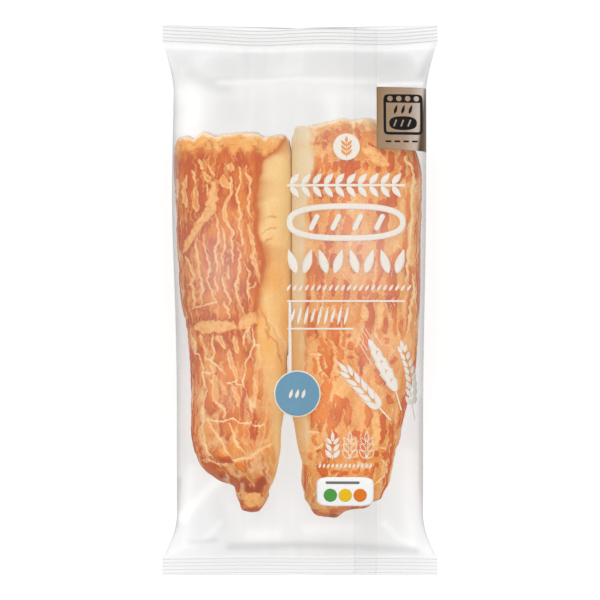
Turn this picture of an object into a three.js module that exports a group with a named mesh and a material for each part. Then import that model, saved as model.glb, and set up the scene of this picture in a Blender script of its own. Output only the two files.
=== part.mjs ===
// A clear flow-wrapped pouch round two half baguettes of tiger bread that lie side by side.
// The pouch lies on its back with its front up. Its film rests on both crowns, dips between them,
// wraps down their outer sides and runs out at each end to a flat crimped seal.
// Millimetres, +Z up. +Y points to the end seal that is the upper one on a shelf, and +X to the right.
// The origin is on the resting plane, under the middle of the pouch.
import * as THREE from "three";

// Driving dimensions of the pouch
const packLength = 314;
const sealWidth = 157;
const sealDepth = 10;
const sealThickness = 0.8;
const sealHeight = 14;
const bodyWidthUpper = 143.6;
const bodyWidthLower = 140.2;
const packHeight = 46;
const widestHeight = 19;

// The crimp: ribs across the seal, each a shallow fold of both layers
const ribCount = 5;
const ribHeight = 0.35;

// The two loaves under the film: where their crowns, their gap and their ends lie
const gapX = -4.6;
const gapDip = 5;
const gapReach = 10;
const crownTilt = 0.03;
const tailThinning = 0.1;
const leftSlopeTop = 62;
const rightSlopeTop = 54;
const leftSlopeBottom = 62;
const rightSlopeBottom = 50;
const underSlopeTop = 58;
const underSlopeBottom = 52;
const slopeRounding = 1.6;

// How the outline flares from the body to the corners of each seal
const flareTop = { reach: 28.5, power: 1.5 };
const flareBottom = { reach: 25.6, power: 1.9 };
const leftBulge = { depth: 1.1, y: 57, reach: 48 };

// How square the cross-section is: a lens beside the seals, a rounded box over the loaves
const lensPower = 1.5;
const boxPower = 4;
const boxReach = 45;
const flatSpare = 1.2;

// The seals' gentle waves, up and down and in plan
const waveHeight = 1.2;
const waveLength = 105;
const waveReach = 16;
const edgeDipTop = 2.6;
const edgeDipBottom = 0.5;

// Mesh steps
const stepsRound = 64;
const stepsBody = 42;
const stepsPerRib = 2;

const half = packLength / 2;
const innerTop = half - sealDepth;
const innerBottom = -half + sealDepth;

const clamp01 = (t) => Math.min(Math.max(t, 0), 1);
const smooth = (t) => clamp01(t) ** 2 * (3 - 2 * clamp01(t));
const mix = (a, b, t) => a + (b - a) * t;

// From 0 at a seal to 1 where the film has reached the loaves: a straight slope, rounded at its upper end.
const rise = (distance, reach) => 1 - (1 - clamp01(distance / reach)) ** slopeRounding;

// From 1 in a seal to 0 well inside the body.
const nearSeal = (distance) => Math.exp(-Math.max(distance, 0) / waveReach);

// Half the pouch's width at y, on the side that x points to.
function halfWidth(y, side) {
  const body = mix(bodyWidthUpper, bodyWidthLower, smooth(0.5 - y / 130)) / 2;
  const bulge = side < 0 ? leftBulge.depth * Math.exp(-(((y - leftBulge.y) / leftBulge.reach) ** 2)) : 0;
  const top = (1 - clamp01((innerTop - y) / flareTop.reach)) ** flareTop.power;
  const bottom = (1 - clamp01((y - innerBottom) / flareBottom.reach)) ** flareBottom.power;
  return mix(body + bulge, sealWidth / 2, Math.max(top, bottom));
}

// The height of the film's upper side along the crowns, at x and y.
function crownHeight(x, y) {
  const right = smooth(0.5 + (x - gapX) / 60);
  const top = rise(innerTop - y, mix(leftSlopeTop, rightSlopeTop, right));
  const bottom = rise(y - innerBottom, mix(leftSlopeBottom, rightSlopeBottom, right));
  const dip = gapDip * Math.exp(-0.5 * ((x - gapX) / gapReach) ** 2);
  const full = packHeight + crownTilt * x - dip;
  const thinned = full * (1 - tailThinning * smooth(-y / half));
  return sealHeight + (thinned - sealHeight) * top * bottom;
}

// The height of the film's underside along the middle, at y: on the table, and up to each seal.
function underHeight(y) {
  const top = rise(innerTop - y, underSlopeTop);
  const bottom = rise(y - innerBottom, underSlopeBottom);
  return sealHeight * (1 - top * bottom);
}

// The crimp's fold at y, in the seals alone: one wave for each rib.
function crimp(distance) {
  if (distance >= 0) return 0;
  return ribHeight * Math.sin((-distance / sealDepth) * ribCount * 2 * Math.PI);
}

// How far a seal's edge is drawn in towards the body, by its place u across, from -1 to 1.
function edgeDip(u, y) {
  const depth = y > 0 ? edgeDipTop : -edgeDipBottom;
  const arch = 1 - Math.abs(u) ** 3;
  const ripple = 0.25 * Math.cos(2 * Math.PI * (u + 0.3));
  return depth * arch * (0.8 + ripple);
}

// One point of the pouch's skin. u runs across from -1 to 1, and upper tells the front film from the back.
function skinPoint(rowY, u, upper) {
  const distance = Math.min(innerTop - rowY, rowY - innerBottom);
  const x = u * halfWidth(rowY, u);
  const power = distance < 0 ? 2 * boxPower : mix(lensPower, boxPower, smooth(distance / boxReach));
  const bulge = (1 - Math.abs(u) ** power) ** (1 / power);
  const side = mix(sealHeight, widestHeight, smooth(distance / boxReach));
  const spare = sealThickness / 2;
  const near = nearSeal(distance);
  const wave = waveHeight * near * Math.sin((2 * Math.PI * (x + 20)) / waveLength);
  let z;
  if (upper) {
    z = side + (crownHeight(x, rowY) + spare - side) * bulge;
  } else {
    const lower = side - underHeight(rowY) + mix(spare, flatSpare, smooth(distance / boxReach));
    z = Math.max(side - lower * bulge, 0);
  }
  const y = rowY - edgeDip(u, rowY) * near;
  return new THREE.Vector3(x, y, Math.max(z + wave + crimp(distance), 0));
}

// The rows along the pouch: fine over each crimp, closer near the seals than in the middle.
function rowPlaces() {
  const rows = [];
  const sealSteps = ribCount * stepsPerRib * 2;
  for (let i = 0; i < sealSteps; i++) rows.push(mix(-half, innerBottom, i / sealSteps));
  for (let i = 0; i <= stepsBody; i++) {
    const t = i / stepsBody;
    rows.push(innerTop * mix(2 * t - 1, -Math.cos(Math.PI * t), 0.5));
  }
  for (let i = 1; i <= sealSteps; i++) rows.push(mix(innerTop, half, i / sealSteps));
  return rows;
}

// The skin as one closed solid: rings along the pouch, and a thin end face on each seal's cut edge.
function pouchGeometry() {
  const rows = rowPlaces();
  const positions = [];
  for (const y of rows) {
    for (let j = 0; j < stepsRound; j++) {
      const angle = (2 * Math.PI * j) / stepsRound;
      const p = skinPoint(y, Math.cos(angle), Math.sin(angle) >= 0);
      positions.push(p.x, p.y, p.z);
    }
  }
  const index = [];
  const at = (row, j) => row * stepsRound + (j % stepsRound);
  for (let row = 0; row + 1 < rows.length; row++) {
    for (let j = 0; j < stepsRound; j++) {
      index.push(at(row, j), at(row + 1, j + 1), at(row, j + 1));
      index.push(at(row, j), at(row + 1, j), at(row + 1, j + 1));
    }
  }
  const last = rows.length - 1;
  for (let j = 0; j < stepsRound / 2; j++) {
    const k = stepsRound - j;
    const ends = [at(0, j), at(0, j + 1), at(0, k - 1), at(0, k)];
    const far = ends.map((i) => i + last * stepsRound);
    const corners = j === 0 ? [[0, 1, 2]] : j === stepsRound / 2 - 1 ? [[0, 1, 3]] : [[0, 1, 2], [0, 2, 3]];
    for (const [a, b, c] of corners) {
      index.push(ends[a], ends[b], ends[c]);
      index.push(far[a], far[c], far[b]);
    }
  }
  const geometry = new THREE.BufferGeometry();
  geometry.setAttribute("position", new THREE.Float32BufferAttribute(positions, 3));
  geometry.setIndex(index);
  geometry.computeVertexNormals();
  return geometry;
}

const breadUnderFilm = new THREE.MeshStandardMaterial({ color: 0xe0a05f, roughness: 0.35, metalness: 0 });

const pack = new THREE.Group();
const pouch = new THREE.Mesh(pouchGeometry(), breadUnderFilm);
pouch.name = "pouch";
pack.add(pouch);

export default pack;
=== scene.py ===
"""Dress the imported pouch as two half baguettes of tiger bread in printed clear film.

The frame holds one solid, the pouch as it lies on its back with its front up. Here that solid gives
way to what it stands for: a wrap of clear film, the two loaves inside it and the print on its front.

Sizes are in millimetres and meshes are written in metres, in the frame's own axes: +Z points out of
the printed front, +Y to the upper seal and +X to the right.
"""

import logging
import math
from dataclasses import dataclass, field
from enum import Enum
from typing import Optional, Union

import bpy
import numpy as np
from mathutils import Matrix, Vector


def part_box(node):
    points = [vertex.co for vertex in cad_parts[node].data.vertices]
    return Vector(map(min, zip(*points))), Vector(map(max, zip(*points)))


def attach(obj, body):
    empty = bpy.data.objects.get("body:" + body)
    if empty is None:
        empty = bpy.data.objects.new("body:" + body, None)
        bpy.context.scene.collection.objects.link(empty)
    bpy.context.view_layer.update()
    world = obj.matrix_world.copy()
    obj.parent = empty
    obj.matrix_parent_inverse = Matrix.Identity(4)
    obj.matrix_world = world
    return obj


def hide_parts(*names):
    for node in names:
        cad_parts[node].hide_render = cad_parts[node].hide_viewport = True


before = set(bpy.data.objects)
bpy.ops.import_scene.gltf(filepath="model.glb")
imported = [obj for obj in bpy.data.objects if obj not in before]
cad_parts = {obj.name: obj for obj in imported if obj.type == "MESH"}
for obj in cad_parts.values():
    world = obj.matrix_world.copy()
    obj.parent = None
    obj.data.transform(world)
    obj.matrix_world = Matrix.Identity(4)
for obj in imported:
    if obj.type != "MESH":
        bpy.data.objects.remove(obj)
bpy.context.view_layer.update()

Array = np.ndarray
Pair = tuple[float, float]
Path = tuple[Pair, ...]
Colour = tuple[float, float, float, float]
Socket = bpy.types.NodeSocket
Value = Union[Socket, Colour, float]
LOG = logging.getLogger("bread_pouch")
METRES = 0.001
WHITE = (1.0, 1.0, 1.0, 1.0)


def smooth(t: Array) -> Array:
    """Ease from 0 to 1: t squared times (3 - 2t), with t held between 0 and 1."""
    t = np.clip(t, 0.0, 1.0)
    return t * t * (3.0 - 2.0 * t)


def mix(a: Array, b: Array, t: Array) -> Array:
    """Return a where t is 0 and b where t is 1, in a straight line between."""
    return a + (b - a) * t


def bell(t: Array) -> Array:
    """Return 1 where t is 0, falling off as a bell: e to the power of minus t squared."""
    return np.exp(-(t**2))


def unit(directions: Array) -> Array:
    """Return directions scaled to length 1."""
    return directions / np.maximum(np.linalg.norm(directions, axis=-1, keepdims=True), 1e-9)


def held_under(values: Array, limit: Array, give: float) -> Array:
    """Keep values under a limit, bending them softly over the last stretch before it, as long as give."""
    past = values - (limit - give)
    return np.where(past > 0, limit - give * np.exp(-np.maximum(past, 0.0) / give), values)


def added_up(steps: Array) -> Array:
    """Return how far along each point lies, from 0, by the steps between the points."""
    return np.concatenate([[0.0], np.cumsum(steps)])


def superellipse(angle: Array, power: Array) -> tuple[Array, Array]:
    """Return points of an outline of half size 1: a circle at power 2, and squarer at higher powers."""
    c, s = np.cos(angle), np.sin(angle)
    return np.sign(c) * np.abs(c) ** (2.0 / power), np.sign(s) * np.abs(s) ** (2.0 / power)


def paired(numbers: tuple[float, ...]) -> Path:
    """Pair up numbers given in a row, first with second, third with fourth and so on."""
    return tuple(zip(numbers[::2], numbers[1::2]))


def placed(name: str, data: bpy.types.ID) -> bpy.types.Object:
    """Put a new object with its data into the scene."""
    made = bpy.data.objects.new(name, data)
    bpy.context.scene.collection.objects.link(made)
    return made


def srgb(red: int, green: int, blue: int) -> Colour:
    """Turn a screen colour, 0 to 255, into the linear colour that shaders take."""
    screen = np.array([red, green, blue]) / 255.0
    linear = np.where(screen <= 0.04045, screen / 12.92, ((screen + 0.055) / 1.055) ** 2.4)
    return (*linear.tolist(), 1.0)


def lit(red: int, green: int, blue: int, veil: float = 0.0, gain: float = 1.29) -> Colour:
    """Return the linear colour that a surface needs to look like a screen colour in this studio.

    The veil of light in front of it is taken off, and the rest is divided by gain, which is how
    bright a white surface looks there.
    """
    wanted = np.array(srgb(red, green, blue)[:3])
    return (*np.clip((wanted - veil) / gain, 0.01, 0.95).tolist(), 1.0)


def under_film(red: int, green: int, blue: int) -> Colour:
    """Return the colour that bread needs to look like a screen colour through the film."""
    return lit(red, green, blue, veil=0.05, gain=0.95)


@dataclass(frozen=True)
class Profile:
    """A smooth curve through stations, each a place and the value there, with the places rising."""

    stations: Path

    @property
    def ends(self) -> Pair:
        """Return the first place and the last."""
        return self.stations[0][0], self.stations[-1][0]

    def at(self, place: Array) -> Array:
        """Read the curve at each place. Beyond the ends the end values hold.

        It is cubic between stations and doesn't overshoot them. The slope at a station is the
        harmonic mean of the slopes on its two sides, and flat where the curve turns.
        """
        x, y = np.array(self.stations, float).T
        step = np.diff(x)
        rise = np.diff(y) / step
        slope = np.zeros_like(y)
        slope[0], slope[-1] = rise[0], rise[-1]
        before, after = rise[:-1], rise[1:]
        turning = before * after <= 0
        total = np.where(turning, 1.0, before + after)
        slope[1:-1] = np.where(turning, 0.0, 2.0 * before * after / total)
        place = np.clip(place, x[0], x[-1])
        k = np.clip(np.searchsorted(x, place, side="right") - 1, 0, len(step) - 1)
        t = (place - x[k]) / step[k]
        start = y[k] * (1 + 2 * t) * (1 - t) ** 2 + slope[k] * step[k] * t * (1 - t) ** 2
        end = y[k + 1] * t**2 * (3 - 2 * t) + slope[k + 1] * step[k] * t**2 * (t - 1)
        return start + end


def curve(*numbers: float) -> Profile:
    """Return a curve through stations given as place, value, place, value and so on."""
    return Profile(paired(numbers))


@dataclass(frozen=True)
class Grain:
    """A seeded source of irregularity. The same seed and place always give the same value."""

    seed: int

    def lattice(self, column: Array, row: Array, channel: int) -> Array:
        """Return a value from 0 to 1 for each whole-number place, by mixing its numbers' bits."""
        mixed = column.astype(np.int64) * 374761393 + row.astype(np.int64) * 668265263
        mixed = (mixed + (self.seed * 13 + channel) * 974711).astype(np.uint32)
        mixed = (mixed ^ (mixed >> np.uint32(13))) * np.uint32(1274126177)
        mixed = (mixed ^ (mixed >> np.uint32(15))) * np.uint32(2246822519)
        return ((mixed ^ (mixed >> np.uint32(16))) & np.uint32(0xFFFFFF)) / float(0xFFFFFF)

    def waves(self, x: Array, y: Array, channel: int = 0, kinked: bool = False) -> Array:
        """Return noise from -1 to 1: lattice values joined over each unit square.

        They are eased together, or joined by straight stretches where kinked is true.
        """
        column, row = np.floor(x), np.floor(y)
        across, along = x - column, y - row
        if not kinked:
            across, along = smooth(across), smooth(along)
        low, high = (
            mix(self.lattice(column, line, channel), self.lattice(column + 1, line, channel), across)
            for line in (row, row + 1)
        )
        return 2.0 * mix(low, high, along) - 1.0

    def rough(self, x: Array, y: Array, channel: int = 0, octaves: int = 3) -> Array:
        """Return rough noise from about -1 to 1: waves at each octave, half as high and half as long."""
        total, height = np.zeros_like(x), 1.0
        for octave in range(octaves):
            total = total + height * self.waves(x * 2**octave, y * 2**octave, channel + 7 * octave)
            height *= 0.5
        return total / 1.5

    def cells(self, x: Array, y: Array, width: float, length: float, channel: int) -> tuple[Array, Array]:
        """Part the surface into scales of about width by length, as dried paste parts.

        Each unit square of (x / width, y / length) holds one scattered centre, and a point belongs to
        the nearest. A border is the line halfway between two centres. The more it runs across, the
        more closed it counts: the distance to it grows by up to closing.

        Returns:
            The distance to the nearest border in millimetres, less at the corners where cracks meet,
            and each scale's own value, 0 to 1.
        """
        scatter, closing, corner_depth, corner_reach = 0.86, 1.3, 0.6, 0.5
        a, b = x / width, y / length
        column, row = np.floor(a), np.floor(b)
        reach_x, reach_y, tones = [], [], []
        for i in (-2, -1, 0, 1, 2):
            for j in (-2, -1, 0, 1, 2):
                p, q = column + i, row + j
                reach_x.append(p + 0.5 + scatter * (self.lattice(p, q, channel) - 0.5) - a)
                reach_y.append(q + 0.5 + scatter * (self.lattice(p, q, channel + 1) - 0.5) - b)
                tones.append(self.lattice(p, q, channel + 2))
        reach_x, reach_y, tones = np.stack(reach_x), np.stack(reach_y), np.stack(tones)
        own = np.argmin(reach_x**2 + reach_y**2, axis=0)[None]
        own_x, own_y = np.take_along_axis(reach_x, own, 0), np.take_along_axis(reach_y, own, 0)
        apart_x, apart_y = reach_x - own_x, reach_y - own_y
        halfway = 0.5 * ((reach_x + own_x) * apart_x + (reach_y + own_y) * apart_y)
        steepness = np.sqrt((apart_x / width) ** 2 + (apart_y / length) ** 2)
        distance = np.where(steepness > 0, halfway / np.maximum(steepness, 1e-9), 1e9)
        distance = distance + closing * (apart_y / length / np.maximum(steepness, 1e-9)) ** 2
        distance = np.partition(distance, 1, axis=0)
        meeting = corner_depth * np.exp(-(distance[1] - distance[0]) / corner_reach)
        nearest = distance[0] - meeting * smooth(distance[0] / corner_depth)
        return nearest, np.take_along_axis(tones, own, 0)[0]


@dataclass
class Surface:
    """A mesh in the making: corners in millimetres, and the corner numbers of each face."""

    points: Array
    quads: Array
    triangles: Array = field(default_factory=lambda: np.zeros((0, 3), int))

    @classmethod
    def tube(cls, rings: Array, start: Array, end: Array) -> "Surface":
        """Close a stack of rings into one skin, with a pole before the first and after the last.

        The points of a ring run anticlockwise as seen from the start, so the faces point out.
        """
        rows, around = rings.shape[:2]
        number = np.arange(rows * around).reshape(rows, around)
        after = np.roll(number, -1, axis=1)
        quads = np.stack([number[:-1], number[1:], after[1:], after[:-1]], axis=-1).reshape(-1, 4)
        first, last = rows * around, rows * around + 1
        cap = np.stack([np.full(around, first), number[0], after[0]], axis=-1)
        far = np.stack([np.full(around, last), after[-1], number[-1]], axis=-1)
        points = np.concatenate([rings.reshape(-1, 3), start[None], end[None]])
        return cls(points, quads, np.concatenate([cap, far]))

    @classmethod
    def slab(cls, high: Array, low: Array, looped: bool = False) -> "Surface":
        """Close two like grids of points, one over the other, into a thin solid with faces out.

        Where looped is true the grid's last row joins its first, as in a ring.
        """
        n, m = high.shape[:2]
        number = np.arange(n * m).reshape(n, m)
        if looped:
            number = np.concatenate([number, number[:1]])
        under = number + n * m
        a, b, c, d = number[:-1, :-1], number[1:, :-1], number[1:, 1:], number[:-1, 1:]
        top = np.stack([a, b, c, d], axis=-1).reshape(-1, 4)
        faces = [top, top[:, ::-1] + n * m]
        sides = [(slice(None), 0), (slice(None, None, -1), -1)]
        if not looped:
            sides += [(-1, slice(None)), (0, slice(None, None, -1))]
        for side in sides:
            line, below = number[side], under[side]
            faces.append(np.stack([line[1:], line[:-1], below[:-1], below[1:]], axis=-1))
        quads = np.concatenate(faces)
        points = np.concatenate([high.reshape(-1, 3), low.reshape(-1, 3)])
        corner = points[top[len(top) // 2]]
        facing = np.cross(corner[1] - corner[0], corner[3] - corner[0])
        thickness = points[top[len(top) // 2, 0]] - points[top[len(top) // 2, 0] + n * m]
        if float(facing @ thickness) < 0:
            quads = quads[:, ::-1]
        return cls(points, quads)

    @classmethod
    def joined(cls, parts: list["Surface"]) -> "Surface":
        """Put several surfaces into one, each still closed in itself."""
        points, quads, triangles, count = [], [], [], 0
        for part in parts:
            points.append(part.points)
            quads.append(part.quads + count)
            triangles.append(part.triangles + count)
            count += len(part.points)
        return cls(np.concatenate(points), np.concatenate(quads), np.concatenate(triangles))

    def piece(
        self, name: str, material: bpy.types.Material, marks: Optional[dict[str, Array]] = None
    ) -> bpy.types.Object:
        """Write the surface into the scene as one object that rides on the pouch's body.

        Marks are values for each corner that the finish reads, by name.
        """
        mesh = bpy.data.meshes.new(name)
        corners = np.concatenate([self.quads.ravel(), self.triangles.ravel()])
        threes = len(self.quads) * 4 + np.arange(len(self.triangles)) * 3
        starts = np.concatenate([np.arange(len(self.quads)) * 4, threes])
        mesh.vertices.add(len(self.points))
        mesh.vertices.foreach_set("co", (self.points * METRES).astype(np.float32).ravel())
        mesh.loops.add(len(corners))
        mesh.loops.foreach_set("vertex_index", corners.astype(np.int32))
        mesh.polygons.add(len(starts))
        mesh.polygons.foreach_set("loop_start", starts.astype(np.int32))
        mesh.update(calc_edges=True)
        mesh.shade_smooth()
        for mark, values in (marks or {}).items():
            layer = mesh.attributes.new(mark, "FLOAT", "POINT")
            layer.data.foreach_set("value", values.astype(np.float32).ravel())
        mesh.materials.append(material)
        made = placed(name, mesh)
        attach(made, "root")
        LOG.info("%s: %d faces", name, len(starts))
        return made


class NodeGraph:
    """Builds one material's nodes, with a short method for each kind of step."""

    def __init__(self, name: str) -> None:
        """Start an empty material called name."""
        self.material = bpy.data.materials.new(name)
        self.material.use_nodes = True
        self.tree = self.material.node_tree
        self.tree.nodes.clear()

    def node(self, kind: str, inputs: Optional[dict] = None, **settings) -> bpy.types.Node:
        """Add a node of a kind, with a socket or a value for each input and its own settings."""
        made = self.tree.nodes.new("ShaderNode" + kind)
        for key, value in settings.items():
            setattr(made, key, value)
        for key, value in (inputs or {}).items():
            if isinstance(value, Socket):
                self.tree.links.new(value, made.inputs[key])
            else:
                made.inputs[key].default_value = value
        return made

    def mark(self, name: str) -> Socket:
        """Read a value that the mesh carries at each corner."""
        return self.node("Attribute", attribute_name=name).outputs["Fac"]

    def math(self, operation: str, first: Value, second: Value = 0.0, third: Value = 0.0) -> Socket:
        """Work out one sum of sockets or numbers."""
        return self.node("Math", {0: first, 1: second, 2: third}, operation=operation).outputs[0]

    def step(self, value: Value, low: float, high: float, least: float = 0.0, most: float = 1.0) -> Socket:
        """Ease from least to most as value goes from low to high."""
        inputs = {"Value": value, "From Min": low, "From Max": high, "To Min": least, "To Max": most}
        return self.node("MapRange", inputs, interpolation_type="SMOOTHSTEP").outputs["Result"]

    def noise(self, pitch: float, detail: float, stretch: float = 1.0) -> Socket:
        """Return noise, 0 to 1, of a pitch in millimetres, drawn out along the piece by stretch."""
        place = self.node("TexCoord").outputs["Object"]
        scale = self.node("Mapping", {"Vector": place, "Scale": (1.0, 1.0 / stretch, 1.0)})
        inputs = {"Vector": scale.outputs["Vector"], "Scale": 1.0 / (pitch * METRES), "Detail": detail}
        return self.node("TexNoise", {**inputs, "Roughness": 0.55}).outputs["Fac"]

    def blend(self, factor: Value, first: Value, second: Value) -> Socket:
        """Mix two colours."""
        inputs = {0: factor, 6: first, 7: second}
        return self.node("Mix", inputs, data_type="RGBA", clamp_factor=True).outputs[2]

    def bump(self, height: Value, depth: float, strength: float) -> Socket:
        """Return normals bent by a height of 0 to 1 that stands for depth millimetres."""
        inputs = {"Height": height, "Distance": depth * METRES, "Strength": strength}
        return self.node("Bump", inputs).outputs["Normal"]

    def finish(self, shader: Socket) -> bpy.types.Material:
        """Join the shader to the output and return the material."""
        self.node("OutputMaterial", {"Surface": shader})
        return self.material

    def finish_solid(self, inputs: dict) -> bpy.types.Material:
        """Give the material the shader of a solid surface, with these inputs, and return it."""
        return self.finish(self.node("BsdfPrincipled", inputs).outputs["BSDF"])


@dataclass(frozen=True)
class CrustFinish:
    """Baked dough under a cracked tiger paste.

    It reads a loaf's marks: island, the distance in from a scale's edge; border, the distance from a
    crack's middle line; cream, how pale that line is; paste, where the paste lies; the browning mark,
    how browned the bare dough is beside it, which also carries painted shade along creases; tone, how
    well baked it is; and pale, burn, crumb and sole.
    """

    name: str
    dough_pale: Colour = under_film(255, 219, 160)
    dough_gold: Colour = under_film(247, 188, 114)
    # Browned dough beside the paste, also used for the painted shade along creases.
    dough_brown: Colour = under_film(210, 120, 44)
    crack_gold: Colour = under_film(234, 160, 92)
    crack_light: Colour = under_film(243, 180, 116)
    cream: Colour = under_film(252, 216, 168)
    scale_light: Colour = under_film(235, 147, 78)
    scale_brown: Colour = under_film(208, 111, 58)
    scale_rim: Colour = under_film(191, 92, 46)
    burnt: Colour = under_film(166, 88, 62)
    bare_gold: Colour = under_film(236, 168, 100)
    bare_light: Colour = under_film(248, 200, 142)
    crumb_pale: Colour = under_film(244, 224, 198)
    sole_brown: Colour = under_film(196, 132, 74)

    def material(self) -> bpy.types.Material:
        """Build the finish."""
        g = NodeGraph(self.name)
        fine = g.noise(0.7, 3.0)
        medium = g.noise(3.0, 3.0, 1.6)
        wander = g.math("MULTIPLY_ADD", fine, 0.9, -0.45)
        island = g.math("ADD", g.mark("island"), wander)
        border = g.math("ADD", g.mark("border"), g.math("MULTIPLY", wander, 0.5))
        tone = g.math("ADD", g.mark("tone"), g.math("MULTIPLY_ADD", medium, 0.5, -0.25))
        dough = g.blend(g.step(tone, 0.15, 0.95), self.dough_pale, self.dough_gold)
        streaky = g.math("ADD", medium, g.noise(0.9, 2.0, 7.0))
        golden = g.step(g.math("SUBTRACT", tone, streaky), -0.9, 0.0)
        ground = g.blend(golden, self.crack_light, self.crack_gold)
        scale = g.blend(g.step(tone, 0.05, 0.95), self.scale_light, self.scale_brown)
        rim = g.math("MULTIPLY", g.step(island, 1.1, 0.1), g.step(tone, 0.25, 0.9, 0.15, 0.7))
        scale = g.blend(rim, scale, self.scale_rim)
        covered = g.mark("paste")
        colour = g.blend(covered, dough, ground)
        on_scale = g.math("MULTIPLY", g.step(island, -0.15, 0.3), covered)
        colour = g.blend(on_scale, colour, scale)
        line = g.math("MULTIPLY", g.step(border, 0.5, 0.1), g.mark("cream"))
        colour = g.blend(line, colour, self.cream)
        bare = g.blend(g.step(g.noise(2.6, 3.0), 0.3, 0.6), self.bare_gold, self.bare_light)
        # The browning mark also carries painted shade along creases.
        marked = (("pale", bare), ("glow", self.dough_brown), ("sole", self.sole_brown))
        for mark, over in marked + (("burn", self.burnt), ("crumb", self.crumb_pale)):
            colour = g.blend(g.mark(mark), colour, over)
        mottle = g.node("HueSaturation", {"Value": g.step(fine, 0.25, 0.75, 0.93, 1.06), "Color": colour})
        rough = g.step(on_scale, 0.0, 1.0, 0.65, 0.5)
        normal = g.bump(g.math("ADD", fine, g.math("MULTIPLY", g.noise(0.25, 2.0), 0.5)), 0.2, 0.7)
        inputs = {"Base Color": mottle.outputs["Color"], "Roughness": rough, "Normal": normal}
        return g.finish_solid({**inputs, "Specular IOR Level": 0.22})


def golden_crust() -> CrustFinish:
    """Return the right loaf's finish, which is a lighter and more orange bake."""
    return CrustFinish(
        "golden_tiger_crust",
        dough_pale=under_film(238, 220, 184),
        dough_gold=under_film(236, 194, 134),
        crack_gold=under_film(240, 168, 94),
        crack_light=under_film(248, 196, 132),
        cream=under_film(251, 216, 164),
        scale_light=under_film(236, 146, 84),
        scale_brown=under_film(212, 112, 62),
        scale_rim=under_film(198, 98, 54),
    )


@dataclass(frozen=True)
class FilmFinish:
    """Clear glossy packing film: one wall that passes less light and reflects more when seen aslant.

    It reads two marks: shade, painted light and shade, which at 1 makes the film wholly clear and
    unreflecting, so it looks white, and at -1 darkens what it passes; and veil, a painted reflection
    laid on as white scattered light over its usual haze.

    Attributes:
        name: The material's name.
        straight: Share of light passed face on.
        aslant: Share passed edge on.
        sheen: Share reflected face on.
        haze: Share scattered.
        doubled: Share that painted shade takes from what is passed where the shade mark is -1.
        roughness: How blurred its reflections are.
    """

    name: str
    straight: float = 0.957
    aslant: float = 0.5
    sheen: float = 0.05
    haze: float = 0.02
    doubled: float = 0.1
    roughness: float = 0.2

    def material(self) -> bpy.types.Material:
        """Build the finish."""
        g = NodeGraph(self.name)
        facing = g.node("LayerWeight", {"Blend": 0.5}).outputs["Facing"]
        steep = g.math("POWER", facing, 1.3)
        near, far = (self.straight,) * 3 + (1.0,), (self.aslant,) * 3 + (1.0,)
        shade = g.mark("shade")
        # Positive shade is painted light and negative shade is painted shade.
        painted_light, painted_dark = g.math("MAXIMUM", shade, 0.0), g.math("MAXIMUM", g.math("MULTIPLY", shade, -1.0), 0.0)
        # Painted light: the film passes all light, so it looks white against the white floor.
        tint = g.blend(painted_light, g.blend(steep, near, far), WHITE)
        # Painted shade: a share of the light that is passed is taken away.
        tint = g.blend(g.math("MULTIPLY", painted_dark, self.doubled), tint, (0.0, 0.0, 0.0, 1.0))
        clear = g.node("BsdfTransparent", {"Color": tint})
        gloss = g.node("BsdfAnisotropic", {"Roughness": self.roughness, "Color": WHITE})
        share = g.math("MULTIPLY_ADD", g.math("POWER", facing, 2.0), 0.4, self.sheen)
        # Painted light also takes away the film's reflection.
        share = g.math("MULTIPLY", share, g.math("SUBTRACT", 1.0, painted_light))
        wall = g.node("MixShader", {0: share, 1: clear.outputs[0], 2: gloss.outputs[0]})
        milk = g.node("BsdfDiffuse", {"Color": (0.8, 0.8, 0.8, 1.0)})
        # The veil mark adds painted reflection as white scattered light.
        haze = g.math("ADD", g.mark("veil"), self.haze)
        film = g.node("MixShader", {0: haze, 1: wall.outputs[0], 2: milk.outputs[0]})
        return g.finish(film.outputs[0])


@dataclass(frozen=True)
class InkFinish:
    """Ink printed on film: a flat linear colour with a faint unevenness."""

    name: str
    colour: Colour
    roughness: float = 0.6
    metallic: float = 0.0

    def tint(self, g: NodeGraph) -> Value:
        """Return the ink's colour, or a socket that gives it."""
        return self.colour

    def material(self) -> bpy.types.Material:
        """Build the finish."""
        g = NodeGraph(self.name)
        uneven = g.step(g.noise(1.2, 2.0), 0.3, 0.7, 0.96, 1.03)
        tint = g.node("HueSaturation", {"Value": uneven, "Color": self.tint(g)})
        inputs = {"Base Color": tint.outputs["Color"], "Roughness": self.roughness}
        return g.finish_solid({**inputs, "Metallic": self.metallic, "Specular IOR Level": 0.08})


@dataclass(frozen=True)
class PaintedLightInk(InkFinish):
    """Ink with painted light and shade that changes across the pouch, as it runs towards its side.

    Attributes:
        bands: Places across the pouch in millimetres, rising, each with the colour from there on, which
            paints light and shade.
        slant: How far the bands lean out for each millimetre along the pouch.
        level: The place along where the bands lie where they say.
    """

    bands: tuple[tuple[float, Colour], ...] = ()
    slant: float = 0.0
    level: float = 0.0

    def tint(self, g: NodeGraph) -> Value:
        """Return the colour of each band, eased into the next one."""
        place = g.node("TexCoord").outputs["Object"]
        x, y = (g.node("SeparateXYZ", {0: place}).outputs[axis] for axis in "XY")
        x = g.math("ADD", x, g.math("MULTIPLY_ADD", y, -self.slant, self.slant * self.level * METRES))
        colour = self.bands[0][1]
        for (low, _), (high, tone) in zip(self.bands[:-1], self.bands[1:]):
            colour = g.blend(g.step(x, low * METRES, high * METRES), colour, tone)
        return colour


@dataclass(frozen=True)
class Flare:
    """How the pouch widens into a seal's corners: over reach millimetres, by a power."""

    reach: float
    power: float

    def share(self, distance: Array) -> Array:
        """Return 1 at the seal and 0 beyond reach."""
        return (1.0 - np.clip(distance / self.reach, 0.0, 1.0)) ** self.power


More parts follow.
